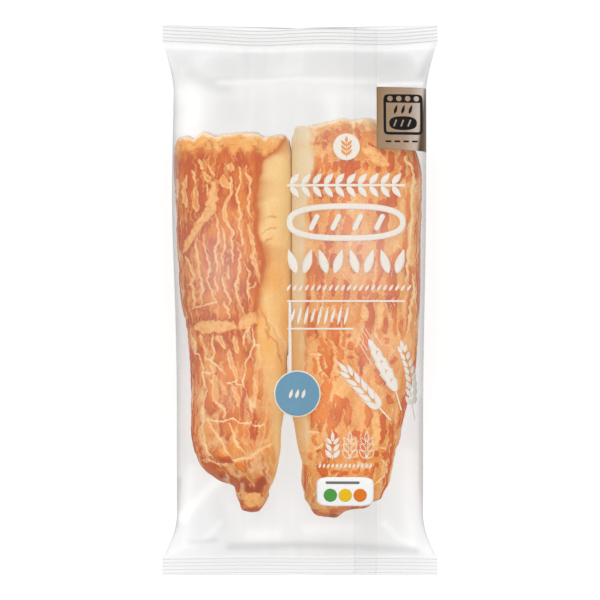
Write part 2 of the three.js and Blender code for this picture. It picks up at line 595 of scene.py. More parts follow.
def along_path(path: Path, x: Array, y: Array) -> tuple[Array, Array]:
    """Return each place's distance from a path of straight stretches, and how far along that is, 0 to 1."""
    least, reached = np.full(np.shape(x), 1e9), np.zeros(np.shape(x))
    travelled = 0.0
    for (ax, ay), (bx, by) in zip(path[:-1], path[1:]):
        dx, dy = bx - ax, by - ay
        length = math.hypot(dx, dy)
        t = np.clip(((x - ax) * dx + (y - ay) * dy) / length**2, 0.0, 1.0)
        off = np.hypot(x - ax - t * dx, y - ay - t * dy)
        reached = np.where(off < least, travelled + t * length, reached)
        least = np.minimum(least, off)
        travelled += length
    return least, reached / travelled


@dataclass(frozen=True)
class FoldAndShade:
    """A painted streak of light, or of shade, on the film along a path seen from above, with a soft fold
    where it has a lift.

    Attributes:
        path: Its points.
        width: Half its width.
        shade: How much painted light it gives the film, up to 1, or painted shade, down to -1.
        lift: How far it stands up, or down if negative.
    """

    path: Path
    width: float
    shade: float
    lift: float = 0.0

    def at(self, x: Array, y: Array) -> Array:
        """Return 1 on the path, falling off as a bell across it."""
        return bell(along_path(self.path, x, y)[0] / self.width)


def fold_and_shade_rows(*rows: tuple[float, ...]) -> tuple[FoldAndShade, ...]:
    """List painted streaks of light and shade with their folds, each row being its width, shade and lift and
    then x and y of each point.
    """
    return tuple(FoldAndShade(paired(row[3:]), *row[:3]) for row in rows)


@dataclass(frozen=True)
class PaintedGlare:
    """A painted reflection on the film at x and y: a soft white veil, laid on as scattered light, strongest
    in its middle.
    """

    x: float
    y: float
    reach: Pair
    share: float

    def at(self, x: Array, y: Array) -> Array:
        """Return the share scattered at each place, which falls off as a bell."""
        across, along = (x - self.x) / self.reach[0], (y - self.y) / self.reach[1]
        return self.share * bell(across) * bell(along)


@dataclass
class FilmWrap:
    """The pouch's clear film: one skin that rests on both crowns and closes in a flat seal at each end.

    Its form is the frame's pouch, with finer ribs in the seals and soft folds between them.
    """

    seal_depth: float = 10.0
    seal_thickness: float = 0.8
    seal_height: float = 14.0
    body_width_upper: float = 143.6
    body_width_lower: float = 140.2
    pack_height: float = 46.0
    widest_height: float = 19.0
    rib_count: int = 5
    rib_height: float = 0.35
    gap_x: float = -4.6
    gap_dip: float = 5.0
    gap_reach: float = 10.0
    crown_tilt: float = 0.03
    tail_thinning: float = 0.1
    slopes_top: Pair = (62.0, 54.0)
    slopes_bottom: Pair = (62.0, 50.0)
    under_slopes: Pair = (58.0, 52.0)
    slope_rounding: float = 1.6
    side_change: float = 60.0
    taper_length: float = 130.0
    flare_top: Flare = Flare(28.5, 1.5)
    flare_bottom: Flare = Flare(25.6, 1.9)
    bulge_depth: float = 1.1
    bulge_y: float = 57.0
    bulge_reach: float = 48.0
    lens_power: float = 1.5
    box_power: float = 4.0
    box_reach: float = 45.0
    flat_spare: float = 1.2
    wave_height: float = 1.2
    wave_length: float = 105.0
    wave_reach: float = 16.0
    wave_shift: float = 20.0
    edge_dip_top: float = 2.6
    edge_dip_bottom: float = 0.5
    around: int = 300
    rows_per_rib: int = 8
    rows_body: int = 240
    grain: Grain = Grain(11)
    # Painted streaks of light and shade on the film, some of them also folds with a lift.
    folds_and_shading: tuple[FoldAndShade, ...] = fold_and_shade_rows(
        (5, -0.3, -0.6, -78, 147, -68.5, 135.5, -57, 127.5, -44.5, 123),
        (8, 1, 0.6, -63, 118, -61, 108.5, -62.5, 97), (8, -0.25, 0, -39.5, 114, -38, 106),
        (1.8, 0.4, 0.3, -46, 124.5, 0, 126.5, 43, 125.5), (2.6, -0.9, -0.9, 78.5, 148, 74, 138, 69.5, 128),
        (6, -0.4, 0, 50, 135.5, 60, 136), (0.9, 1, 0, 44.5, 122.7, 56, 123.3, 69.5, 123.2),
        (4, 0.4, 0, 17, 115, 20.5, 100), (1.6, -0.7, -0.5, -62.5, -138.5, -48.5, -137.5),
        (2.4, -1, -0.6, -40, -141.5, 0, -140.4, 31.5, -141.2, 66, -143.4),
        (1.3, -0.7, 0, -76.4, -143.5, -70.8, -128.5, -69, -102.5),
        (3.4, 0.35, 0.5, -65.5, -137, -64, -114, -62, -97),
        (3.2, 0.6, 0.3, -45, -102, -55, -111, -67, -124),
        (1.4, -0.7, 0, 76.4, -143.5, 71.8, -128.5, 69, -102.5, 68.6, -57),
        (4.5, 0.4, 0.6, 64, -139.5, 61.5, -114, 61.5, -88), (5, -0.25, -0.5, -49.5, -111, -44.5, -128),
        (4.5, 0.45, 0, -28, -134.5, -14, -134), (4, 0.35, 0, 4, -131, 30, -130),
        (2.2, 0.35, 0.8, -74, -144, -54.5, -137, -46, -128), (2.2, 0.3, 0.8, 74, -144, 57, -137, 48, -128),
    )
    # Painted reflections: soft white veils over the loaves.
    painted_glares: tuple[PaintedGlare, ...] = (
        PaintedGlare(-46, 18, (16, 26), 0.15), PaintedGlare(-42, -52, (20, 26), 0.07), PaintedGlare(44, -31, (16, 26), 0.08),
        PaintedGlare(24, -66, (22, 20), 0.04), PaintedGlare(34, 28, (22, 28), 0.16), PaintedGlare(20, 94, (20, 14), 0.07),
    )
    fin_x: Pair = (30.8, 43.9)
    fin_room: float = 0.3
    fin_gap: float = 0.08
    fin_thickness: float = 0.12
    ink_room: float = 0.35
    # The lower part is painted lighter, with less painted reflection and haze.
    lower_brightening: float = 0.25
    lower_haze_cut: float = 0.015
    lower_middle: float = -40.0
    lower_change: float = 60.0
    fold_fade: float = 9.0
    gather_height: float = 0.55
    gather_middle: float = 14.0
    gather_reach: float = 15.0
    flute_height: float = 0.5
    flute_edge: float = 0.72
    slack_height: float = 0.3
    # A painted highlight along the upper seal's inner edge: its distance, width and strength.
    seal_line: float = 2.2
    seal_highlight_width: float = 1.8
    seal_highlight_strength: float = 0.85
    streak_shade: float = 0.14

    def __post_init__(self) -> None:
        """Take the pouch's length and seal width from the frame."""
        low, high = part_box("pouch")
        self.half = (high[1] - low[1]) / METRES / 2.0
        self.seal_width = (high[0] - low[0]) / METRES
        self.ceiling = high[2] / METRES - self.ink_room
        self.inner_top = self.half - self.seal_depth
        self.inner_bottom = -self.half + self.seal_depth

    def distance(self, row: Array) -> Array:
        """Return how far a row lies from the nearer seal, negative inside one."""
        return np.minimum(self.inner_top - row, row - self.inner_bottom)

    def turn(self, row: Array) -> Array:
        """Return how far a row lies into a seal, one full turn for each rib."""
        return -self.distance(row) / self.seal_depth * self.rib_count * math.tau

    def lower_part(self, row: Array) -> Array:
        """Return 1 in the pouch's lower part, where the film is painted lighter, with less painted reflection
        and haze, and 0 in its upper part.
        """
        return smooth(0.5 - (row - self.lower_middle) / self.lower_change)

    def near(self, row: Array) -> Array:
        """Return 1 in a seal, falling to 0 well inside the body."""
        return np.exp(-np.maximum(self.distance(row), 0.0) / self.wave_reach)

    def half_width(self, row: Array, side: Array) -> Array:
        """Return half the pouch's width at a row, on the side that side points to."""
        body = mix(self.body_width_upper, self.body_width_lower, smooth(0.5 - row / self.taper_length)) / 2.0
        bulge = self.bulge_depth * bell((row - self.bulge_y) / self.bulge_reach)
        body = body + np.where(side < 0, bulge, 0.0)
        top = self.flare_top.share(self.inner_top - row)
        bottom = self.flare_bottom.share(row - self.inner_bottom)
        return mix(body, self.seal_width / 2.0, np.maximum(top, bottom))

    def rise(self, row: Array, top: Array, bottom: Array) -> Array:
        """Return 0 at the seals and 1 where the film has reached the loaves, by slopes so long."""
        slopes = ((self.inner_top - row) / top, (row - self.inner_bottom) / bottom)
        high, low = (1.0 - (1.0 - np.clip(slope, 0.0, 1.0)) ** self.slope_rounding for slope in slopes)
        return high * low

    def crown(self, x: Array, row: Array) -> Array:
        """Return the height of the film's front along the crowns."""
        right = smooth(0.5 + (x - self.gap_x) / self.side_change)
        risen = self.rise(row, mix(*self.slopes_top, right), mix(*self.slopes_bottom, right))
        dip = self.gap_dip * np.exp(-0.5 * ((x - self.gap_x) / self.gap_reach) ** 2)
        full = self.pack_height + self.crown_tilt * x - dip
        thinned = full * (1.0 - self.tail_thinning * smooth(-row / self.half))
        return self.seal_height + (thinned - self.seal_height) * risen

    def under(self, row: Array) -> Array:
        """Return the height of the film's back along the middle: on the table, and up to each seal."""
        return self.seal_height * (1.0 - self.rise(row, *self.under_slopes))

    def edge_dip(self, u: Array, row: Array) -> Array:
        """Return how far a seal's edge is drawn in towards the body, by its place u across."""
        depth = np.where(row > 0, self.edge_dip_top, -self.edge_dip_bottom)
        ripple = 0.25 * np.cos(math.tau * (u + 0.3))
        return depth * (1.0 - np.abs(u) ** 3) * (0.8 + ripple)

    def creases(self, x: Array, row: Array, upper: Array) -> Array:
        """Return the height of the film's folds, which fade out in the seals.

        Gathers run down from each seal, the back's half as high, and flutes run along both sides.
        """
        distance = self.distance(row)
        out_of_seal = smooth(distance / self.fold_fade)
        gathers = self.gather_height * bell((distance - self.gather_middle) / self.gather_reach)
        gathers = gathers * self.grain.rough(x / 10.0, row / 70.0)
        slack = self.slack_height * self.grain.waves(x / 26.0, row / 55.0, 3)
        beside = smooth((np.abs(x) / self.half_width(row, x) - self.flute_edge) / 0.2)
        flutes = self.flute_height * beside * self.grain.rough(x / 4.5, row / 90.0, 5)
        named = sum(fold.lift * fold.at(x, row) for fold in self.folds_and_shading if fold.lift)
        front = gathers + slack + flutes + named
        return out_of_seal * np.where(upper, front, 0.5 * gathers)

    def shade(self, x: Array, row: Array) -> Array:
        """Return the film's painted light and shade: how light, 1, or dark, -1, it looks at a place.

        Each rib of a seal has a painted dark line and a painted light one, and a painted highlight runs along
        the upper seal's inner edge. Between the seals fine painted streaks run lengthwise under the named
        painted streaks and folds, and the lower part is painted lighter.
        """
        distance = self.distance(row)
        uneven = 0.75 + 0.25 * self.grain.waves(x / 12.0, row / 2.0, 9)
        # Painted shade and a painted highlight on each rib of the seals.
        ribs = np.cos(self.turn(row)) * uneven * np.where(row > 0, 0.75, 0.3) + np.where(row > 0, 0.0, 0.3)
        # A painted highlight along the upper seal's inner edge.
        inner = self.seal_highlight_strength * bell((distance - self.seal_line) / self.seal_highlight_width)
        inner = inner * smooth(0.5 + row)
        # Fine painted streaks of light and shade.
        streaks = self.streak_shade * self.grain.rough(x / 5.0, row / 80.0, 13)
        named = sum(fold.shade * fold.at(x, row) for fold in self.folds_and_shading)
        lower = self.lower_brightening * self.lower_part(row)
        body = np.clip(inner + streaks + named + lower, -1.0, 1.0)
        return mix(body, ribs, smooth(0.5 - distance))

    def skin(self, row: Array, angle: Array) -> Array:
        """Return points of the film, at rows along it and angles round it, 0 at the right side.

        A ring is a rounded box over the loaves and a lens beside the seals.
        """
        u, upper = np.cos(angle), np.sin(angle) >= 0
        distance = self.distance(row)
        x = u * self.half_width(row, u)
        inward = smooth(distance / self.box_reach)
        power = np.where(distance < 0, 2.0 * self.box_power, mix(self.lens_power, self.box_power, inward))
        bulge = np.maximum(1.0 - np.abs(u) ** power, 0.0) ** (1.0 / power)
        side = mix(self.seal_height, self.widest_height, inward)
        spare = self.seal_thickness / 2.0
        near = self.near(row)
        wave = self.wave_height * near * np.sin(math.tau * (x + self.wave_shift) / self.wave_length)
        over = side + (self.crown(x, row) + spare - side) * bulge
        lower = side - self.under(row) + mix(spare, self.flat_spare, inward)
        beneath = np.maximum(side - lower * bulge, 0.0)
        crimp = self.rib_height * np.sin(self.turn(row))
        z = np.where(upper, over, beneath) + wave + np.where(distance < 0, crimp, 0.0)
        z = z + self.creases(x, row, upper) * np.sqrt(np.abs(np.sin(angle)))
        z = np.minimum(np.maximum(z, self.floor_gap(x)), self.ceiling)
        y = row - self.edge_dip(u, row) * near
        return np.stack([x, y, z], axis=-1)

    def floor_gap(self, x: Array) -> Array:
        """Return the lowest height of the film: on the floor, and just over the fin seal's strip."""
        left, right = self.fin_x
        beside = 1.2
        return self.fin_room * smooth((x - left) / beside + 1.0) * smooth((right - x) / beside + 1.0)

    def locate(self, x: Array, y: Array) -> tuple[Array, Array]:
        """Find the row and angle of the film's front over a place seen from above."""
        row = np.array(y, float)
        for _ in range(5):
            u = np.clip(x / self.half_width(row, x), -1.0, 1.0)
            row = y + self.edge_dip(u, row) * self.near(row)
        return row, np.arccos(u)

    def normal(self, row: Array, angle: Array) -> Array:
        """Return the film's outward direction, from neighbouring points of the skin."""
        step, turn = 0.4, 0.004
        along = self.skin(row + step, angle) - self.skin(row - step, angle)
        round_it = self.skin(row, angle + turn) - self.skin(row, angle - turn)
        return unit(np.cross(along, round_it))

    def rows(self) -> Array:
        """Return the rows along the pouch: fine over each crimp, and even between the seals."""
        seal = self.rib_count * self.rows_per_rib
        low = np.linspace(-self.half, self.inner_bottom, seal, endpoint=False)
        body = np.linspace(self.inner_bottom, self.inner_top, self.rows_body, endpoint=False)
        high = np.linspace(self.inner_top, self.half, seal + 1)
        return np.concatenate([low, body, high])

    def build(self) -> None:
        """Build the film, which stands for the frame's pouch."""
        round_it = np.arange(self.around) * math.tau / self.around
        row, angle = np.meshgrid(self.rows(), round_it, indexing="ij")
        rings = self.skin(row, angle)
        start, end = rings[0].mean(0), rings[-1].mean(0)
        start[1], end[1] = rings[0, self.around // 4, 1], rings[-1, self.around // 4, 1]
        shade = self.shade(rings[..., 0], row)
        front = np.sin(angle) > 0
        # A painted reflection: the veil mark, cut back in the lower part.
        veil = front * sum(glare.at(rings[..., 0], rings[..., 1]) for glare in self.painted_glares)
        veil = veil - self.lower_haze_cut * self.lower_part(row)
        marks = {name: np.append(at, [0.0, 0.0]) for name, at in (("shade", shade), ("veil", veil))}
        piece = Surface.tube(rings, start, end).piece("film", FilmFinish("clear_film").material(), marks)
        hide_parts("pouch")

    def build_fin(self) -> None:
        """Build the back's fin seal: a strip of doubled film folded flat along the whole length."""
        row, across = np.meshgrid(self.rows()[::2], np.linspace(*self.fin_x, 9), indexing="ij")
        u = np.clip(across / self.half_width(row, across), -1.0, 1.0)
        back = self.skin(row, -np.arccos(u))
        high, low = back.copy(), back.copy()
        high[..., 2] -= self.fin_gap
        low[..., 2] -= self.fin_gap + self.fin_thickness
        finish = FilmFinish("doubled_film", straight=0.99, aslant=0.9, sheen=0.0, haze=0.0)
        piece = Surface.slab(high, low).piece("fin_seal", finish.material())


class StreakKind(Enum):
    """What a named streak of the crust is."""

    TEAR = "a narrow tear with a cream line"
    RIBBON = "a crack that has opened, golden with pale edges"
    BAND = "a broad bare band"
    SCALE = "a flame of paste on bare ground"
    # A wrinkle whose brown line is painted shade in the crease.
    CREASE = "a brown wrinkle in smooth dough"
    BURNT = "a mark that the oven has burnt"


@dataclass(frozen=True)
class Streak:
    """A feature of the crust along a path seen from above, with half its width."""

    kind: StreakKind
    width: float
    path: Path

    def measure(self, x: Array, y: Array) -> tuple[Array, Array]:
        """Return each place's distance from the path, and half the streak's width beside it.

        The width is full along the middle. A scale comes to a point at each end, and the rest
        narrow to under half.
        """
        off, share = along_path(self.path, x, y)
        taper = np.sqrt(smooth(4.0 * share) * smooth(4.0 * (1.0 - share)))
        least = 0.0 if self.kind is StreakKind.SCALE else 0.4
        return off, self.width * mix(least, 1.0, taper)


def streaks(kind: StreakKind, *rows: tuple[float, ...]) -> tuple[Streak, ...]:
    """List streaks of one kind, each row being a half width and then x and y of each point."""
    return tuple(Streak(kind, row[0], paired(row[1:])) for row in rows)


@dataclass(frozen=True)
class Spot:
    """A patch of the crust at x and y that is burnt, or pale and bare, from 0 to 1."""

    x: float
    y: float
    reach: Pair
    burn: float = 0.0
    pale: float = 0.0


@dataclass(frozen=True)
class Places:
    """Where each point of a loaf's grid lies: in the pouch, round and along the loaf, and to its end."""

    x: Array
    y: Array
    z: Array
    around: Array
    row: Array
    to_end: Array

    def above(self, height: float, change: float) -> Array:
        """Return 0 up to a height over the floor, rising to 1 over so many millimetres."""
        return smooth((self.z - height) / change)


@dataclass
class CrustField:
    """What the crust does at each point of a loaf's grid, each an array of the grid's shape.

    The island is negative on the ground between scales, and the groove is how far the surface lies
    under the rest, in millimetres. CrustFinish says what the other values are.
    """

    island: Array
    border: Array
    cream: Array
    tone: Array
    paste: Array
    glow: Array
    pale: Array
    burn: Array
    crumb: Array
    sole: Array
    groove: Array

    def marks(self) -> dict[str, Array]:
        """Return the values that the finish reads, by name."""
        return {name: values for name, values in vars(self).items() if name != "groove"}

    def at_least(self, **values: Array) -> None:
        """Raise the named values where they are lower than these."""
        for name, value in values.items():
            setattr(self, name, np.maximum(getattr(self, name), value))

    def at_most(self, share: Array, **values: Array) -> None:
        """Lower the named values by a share of the way to these, where they are higher."""
        for name, value in values.items():
            held = getattr(self, name)
            setattr(self, name, mix(held, np.minimum(held, value), share))

    def tear(self, off: Array, reach: Array, share: Array) -> None:
        """Open a narrow tear: a pale line in a golden margin, off millimetres away."""
        self.at_most(share, island=1.5 * off - 0.5 * reach - 0.2, border=off - 0.4 * reach + 0.1)
        cream = smooth(2.6 - off / (0.6 * reach + 0.3)) * share
        self.at_least(cream=cream, groove=0.4 * bell(off / (reach + 0.4)) * share)

    def ribbon(self, off: Array, reach: Array, share: Array) -> None:
        """Open a crack as wide as reach on each side, with a pale line inside each edge."""
        inside = reach - off
        opened = share * smooth(reach / 0.2)
        self.at_most(opened, island=-inside, border=0.7 * np.abs(inside - 0.4) + 0.12)
        cream = 0.85 * smooth(inside / 0.5 + 0.9) * opened
        self.at_least(cream=cream, groove=0.35 * smooth(inside / 0.8 + 0.5) * opened)

    def band(self, off: Array, reach: Array, share: Array) -> None:
        """Bare a broad band, beside which the scales are well baked."""
        bare = smooth((reach - off) / 1.1 + 0.5) * share
        self.at_most(share, island=off - reach - 0.2)
        self.at_least(border=3.0 * bare, pale=0.8 * bare, groove=0.35 * bare)
        self.tone = self.tone + 0.4 * bell((off - reach - 1.8) / 2.2) * share

    def scale(self, off: Array, reach: Array, share: Array) -> None:
        """Lay a flame of paste, with a faint pale line round it."""
        inside = reach - off
        laid = share * smooth(inside + 1.0)
        self.island = mix(self.island, np.maximum(self.island, inside), laid)
        self.border = mix(self.border, np.maximum(np.abs(inside + 0.25) + 0.2, inside), laid)
        edge = bell((inside + 0.3) / 0.45) * share
        self.cream = mix(self.cream, 0.6 * edge, smooth(inside + 1.0) * share)
        self.groove = self.groove * (1.0 - laid)

    def crease(self, off: Array, reach: Array, share: Array) -> None:
        """Wrinkle smooth dough, with a line of painted shade in the crease."""
        # A painted shade line along the crease, over its real groove.
        line = bell(off / (reach + 0.05)) * share
        self.at_least(glow=0.6 * line, groove=0.15 * line)

    def burnt(self, off: Array, reach: Array, share: Array) -> None:
        """Burn a mark, on a patch of well-baked paste a little larger than the mark."""
        inside = reach - off
        baked = smooth(inside / 1.8 + 1.0) * share
        self.at_least(island=mix(self.island, 0.6, baked))
        self.tone = self.tone + 0.6 * baked
        self.cream = self.cream * (1.0 - 0.8 * baked)
        self.at_least(burn=0.72 * smooth(inside / 1.2 + 0.45) * share)


@dataclass
class Loaf:
    """One half baguette, which lies on its flat sole with its cut end to the upper seal.

    Its profiles are read by the place along, and cut_edge by the place across.

    Attributes:
        left, right: Its outlines seen from above.
        crown: Its height along the middle.
        sole: How far its underside is off the film.
        cut_edge: The cut end's edge seen from above.
        paste_edge: Where the paste ends on its bare side.
        paste_fade: Over what width it thins out there.
        dough: How golden the bare dough is.
        bare_side: 1 where the bare strip is on the right, -1 where it is on the left.
        lean: How far the cracks have moved to the right.
        run: How far along the pattern of cracks a place lies.
        bake: How dark the scales are.
        cover: How much ground they cover off the named streaks, from -1, none, to 1, all.
        edge_sharpness: How sharply open ground is cut off from the scales.
        calm: How far the net of cracks is shut on top, among the named streaks.
        shards: How far scales are split up by hairlines.
        scale_size: A scale's usual width and length.
        crack_width: Half the usual width of the cracks between scales.
        band: How far the paste stays short of the cut end.
    """

    name: str
    grain: Grain
    left: Profile
    right: Profile
    crown: Profile
    sole: Profile
    cut_edge: Profile
    paste_edge: Profile
    paste_fade: Profile
    dough: Profile
    bare_side: int
    lean: Profile
    run: Profile
    bake: Profile
    cover: Profile
    edge_sharpness: Profile
    calm: float
    shards: float
    streaks: tuple[Streak, ...]
    spots: tuple[Spot, ...]
    scale_size: Pair
    band: float
    crack_width: float = 0.7
    rows_along: int = 424
    rows_end: int = 32
    around: int = 216
    top_power: float = 2.15
    sole_power: float = 3.2
    waist: float = 0.43
    edge_rounding: float = 3.0
    cut_reach: float = 16.0
    nose_reach: float = 13.0
    relief_height: float = 0.6
    line_depth: float = 0.25
    roughness: float = 0.12
    pore_depth: float = 0.55
    contact: float = -4.8
    contact_gap: float = 0.02
    roof_clearance: float = 0.4
    ground_clearance: float = 0.3
    roof_give: float = 1.0
    wall_give: float = 0.25

    def ring_angles(self) -> tuple[Array, Array]:
        """Place the points round a ring evenly by length, with a third as many on the sole.

        The angles start with 0 at the right and pass over the crown. With each comes its distance
        round from the crown's middle for a ring of half width 1, positive to the right.
        """
        upper_height, lower_height, sole_share = 0.74, 0.56, 0.3
        fine = np.linspace(0.0, math.tau, 4001)
        x, z = self.section(fine)
        z = z * np.where(z > 0, upper_height, lower_height)
        length = np.hypot(np.diff(x), np.diff(z))
        middle = 0.5 * (fine[1:] + fine[:-1])
        weight = length * mix(1.0, sole_share, smooth((-np.sin(middle) - 0.25) / 0.3))
        reached, travelled = added_up(weight), added_up(length)
        wanted = np.arange(self.around) / self.around * reached[-1]
        angle = np.interp(wanted, reached, fine)
        round_to = np.interp(angle, fine, travelled)
        crown = np.interp(0.5 * np.pi, fine, travelled)
        arc = crown - round_to
        return angle, np.where(arc < -travelled[-1] / 2.0, arc + travelled[-1], arc)

    def section(self, angle: Array) -> tuple[Array, Array]:
        """Return a ring's outline in units: a superellipse, squarer under its widest line."""
        return superellipse(angle, np.where(np.sin(angle) >= 0, self.top_power, self.sole_power))

    def stations(self) -> tuple[Array, Array]:
        """Return each ring's place along the loaf and its share of the full ring.

        Rings are closest at the nose and at the cut end. Past the end, rings shrink over its face.
        """
        nose_extra, nose_reach, cut_extra, cut_reach = 3.0, 4.0, 1.2, 5.0
        tip, end = self.crown.ends
        fine = np.linspace(tip, end, 4001)
        density = 1.0 + nose_extra * np.exp(-(fine - tip) / nose_reach)
        density = density + cut_extra * np.exp(-(end - fine) / cut_reach)
        reached = np.cumsum(density)
        wanted = np.linspace(reached[0], reached[-1], self.rows_along + 1)[1:]
        along = np.interp(wanted, reached, fine)
        face = 1.0 - np.linspace(0.0, 1.0, self.rows_end + 1)[1:] ** 1.5 * 0.97
        row = np.concatenate([along, np.full(self.rows_end, end)])
        return row, np.concatenate([np.ones_like(along), face])

    def smooth_form(self) -> tuple[Array, Places]:
        """Work out the grid of the loaf before its crust cracks, and where each point lies."""
        angle, arc = self.ring_angles()
        row, share = (column[:, None] for column in self.stations())
        unit_x, unit_z = self.section(angle)
        left, right = self.left.at(row), self.right.at(row)
        top, low = self.crown.at(row), self.sole.at(row)
        half, middle = (right - left) / 2.0, (right + left) / 2.0
        waist = low + (top - low) * self.waist
        x = middle + share * half * unit_x
        z = waist + share * np.where(unit_z >= 0, top - waist, waist - low) * unit_z
        row, share = row + 0 * x, share + 0 * x
        end = self.crown.ends[1]
        reach = np.clip((1.0 - share) * half / self.edge_rounding, 0.0, 1.0)
        torn = 0.8 * self.grain.rough(x / 5.0, z / 7.0, 21) + 0.5 * self.grain.rough(x / 1.7, z / 3.0, 22)
        edge = self.cut_edge.at(x) + torn
        rounding = self.edge_rounding * (np.sqrt(1.0 - (1.0 - reach) ** 2) - 1.0)
        y = row + (edge + rounding - end) * smooth((row - end + self.cut_reach) / self.cut_reach)
        to_end = edge - y + np.where(share < 1.0, -(1.0 - share) * half, 0.0)
        around = arc * half * share
        grid = np.stack([x, y, z], axis=-1)
        grid = grid + self.lumps(around, row)[..., None] * outward(grid)
        return grid, Places(*np.moveaxis(grid, -1, 0), around, row, to_end)

    def lumps(self, around: Array, row: Array) -> Array:
        """Return the loaf's broad unevenness, which a hand-shaped dough has."""
        broad = 0.7 * self.grain.waves(around / 24.0, row / 34.0, 1)
        small = 0.35 * self.grain.waves(around / 9.0, row / 13.0, 2)
        return (broad + small) * smooth((row - self.crown.ends[0]) / 14.0)

    def net(self, at: Places) -> CrustField:
        """Crack the paste all over into long scales, some of which have come off.

        The scales are cells stretched along the loaf, and their borders zigzag. Ground is bare where
        two stretched waves add up to less than the cover allows.
        """
        g, around, row = self.grain, at.around, at.row
        on_top = at.above(24.0, 12.0)
        shoulder = self.crown.ends[0] + self.nose_reach
        nose = smooth((shoulder - row) / 11.0)
        around = mix(around, at.x - 0.5 * (self.left.at(shoulder) + self.right.at(shoulder)), nose)
        row = row + nose * (at.z - 30.0)
        u = around - self.lean.at(row) + 1.2 * g.waves(around / 9.0, row / 14.0, 31)
        u = u + 1.5 * g.waves(around / 7.0, row / 2.8, 32, kinked=True)
        u = u + 0.6 * g.waves(around / 3.0, row / 1.4, 39, kinked=True)
        v = self.run.at(row) + 3.0 * g.waves(around / 5.0, row / 15.0, 33)
        width, length = self.scale_size
        border, own = g.cells(u, v, width, length, 40)
        minor, shard = g.cells(u + 100.0, v, 0.6 * width, 0.45 * length, 53)
        opened = smooth(0.5 + g.rough(around / 4.0, row / 8.0, 35, 2))
        shut = self.calm * on_top
        island = border - self.crack_width * (1.7 * opened - 0.3) + shut
        hairline = 0.5 * self.shards * smooth(0.5 + g.waves(around / 6.0, row / 12.0, 34))
        island = np.minimum(island, minor + 0.22 - hairline)
        a, b = u / width, v / length
        flame = 0.75 * g.waves(a / 0.88, b / 0.85, 36) + 0.3 * g.waves(a / 0.45, b / 0.36, 50)
        laid = self.edge_sharpness.at(row) * (flame + mix(0.15, self.cover.at(row), on_top))
        island = np.minimum(island, laid) + 0.2 * g.rough(around / 1.3, row / 1.9, 30, 2)
        border = np.minimum(border + 0.6 * shut, 0.7 * np.abs(laid) + 0.2)
        cream = smooth(0.7 + 0.9 * g.waves(around / 3.0, row / 6.0, 38)) * (1.0 - self.calm * on_top)
        island, cream = mix(island, 1.2, 0.8 * nose), cream * (1.0 - 0.8 * nose)
        tone = self.bake.at(at.y) + 0.25 * g.waves(around / 11.0, row / 22.0, 44) + 0.2 * (own - 0.5)
        tone = tone + 0.35 * g.waves(around / 4.5, row / 8.0, 58) + 0.3 * (shard - 0.5)
        tone = tone + 0.4 * (1.0 - on_top)
        return CrustField(island, border, cream, tone, *(np.zeros_like(border) for _ in range(7)))

    def add_paste_edge(self, field: CrustField, at: Places) -> None:
        """End the paste along the bare side, with a dark rim where it stops short.

        The dough is browned beside it, less and less away from it. Under 12 mm the edge runs level.
        """
        g, x, y, z, row = self.grain, at.x, at.y, at.z, at.row
        inside = self.bare_side * (self.paste_edge.at(y) - x) + 1.3 * g.rough(row / 6.0, z / 8.0, 37)
        low_side = x * self.bare_side > self.paste_edge.at(y) * self.bare_side
        inside = np.where(z < 12.0, np.where(low_side, -6.0, 6.0), inside)
        fade = self.paste_fade.at(y)
        sharp = smooth((4.0 - fade) / 3.0)
        field.paste = smooth(0.5 + inside / fade)
        reach = 1.2 + 4.4 * smooth(0.5 + g.waves(row / 9.0, z / 12.0, 29))
        field.glow = np.exp(-np.maximum(-inside, 0.0) / reach - np.maximum(inside, 0.0) / 1.2) * sharp
        rim = smooth(1.0 - np.abs(inside - 1.2) / 1.6) * sharp * smooth(0.8 + g.waves(row / 7.0, z, 28))
        field.island = np.minimum(field.island, inside + 0.5 * fade - 0.4)
        field.at_least(island=0.7 * rim, border=1.2 * rim, tone=0.95 * rim)
        dough = self.dough.at(y) + 0.25 * g.waves(at.around / 8.0, row / 13.0, 25)
        field.tone = mix(field.tone, dough, smooth(-inside / 3.0))
        field.cream = field.cream * smooth(0.7 + 1.5 * inside / fade)
        height = z - 0.35
        low_paste = smooth((height - 5.0 - 2.0 * g.waves(row / 9.0, x / 9.0, 43)) / 2.5)
        field.paste = field.paste * low_paste
        field.glow = field.glow * low_paste
        field.sole = smooth((3.2 - height) / 2.6)

    def add_cut_end(self, field: CrustField, at: Places) -> None:
        """Leave the crust bare beside the cut end, with soft speckles, a brown zone and torn crumb."""
        g, around, row = self.grain, at.around, at.row
        short = (at.to_end - self.band) + 4.0 * g.rough(around / 4.0, row / 9.0, 41)
        speckle = 1.2 * (g.waves(around / 2.0, row / 2.2, 42) - 0.4)
        near_end = np.minimum(speckle, at.to_end - 3.0)
        field.island = np.where(short > 0, np.minimum(field.island, 0.12 * short), near_end)
        field.cream = field.cream * smooth(short / 6.0)
        browned = at.to_end - self.band - 1.0 + 2.5 * g.waves(around / 6.0, row, 27)
        browned = bell(browned / 3.4) * smooth(0.7 + g.waves(around / 3.0, row / 3.0, 26))
        field.at_least(glow=0.7 * browned * field.paste)
        field.tone = field.tone + 0.15 * smooth(1.0 - np.abs(at.to_end - self.band - 5.0) / 6.0)
        field.paste = field.paste * mix(0.45, 1.0, smooth(short / 5.0 + 0.7))
        ragged = at.to_end + 1.7 * g.rough(around / 3.0, at.z / 3.0, 48) - 0.4
        field.crumb = smooth((1.9 - ragged) / 2.4)

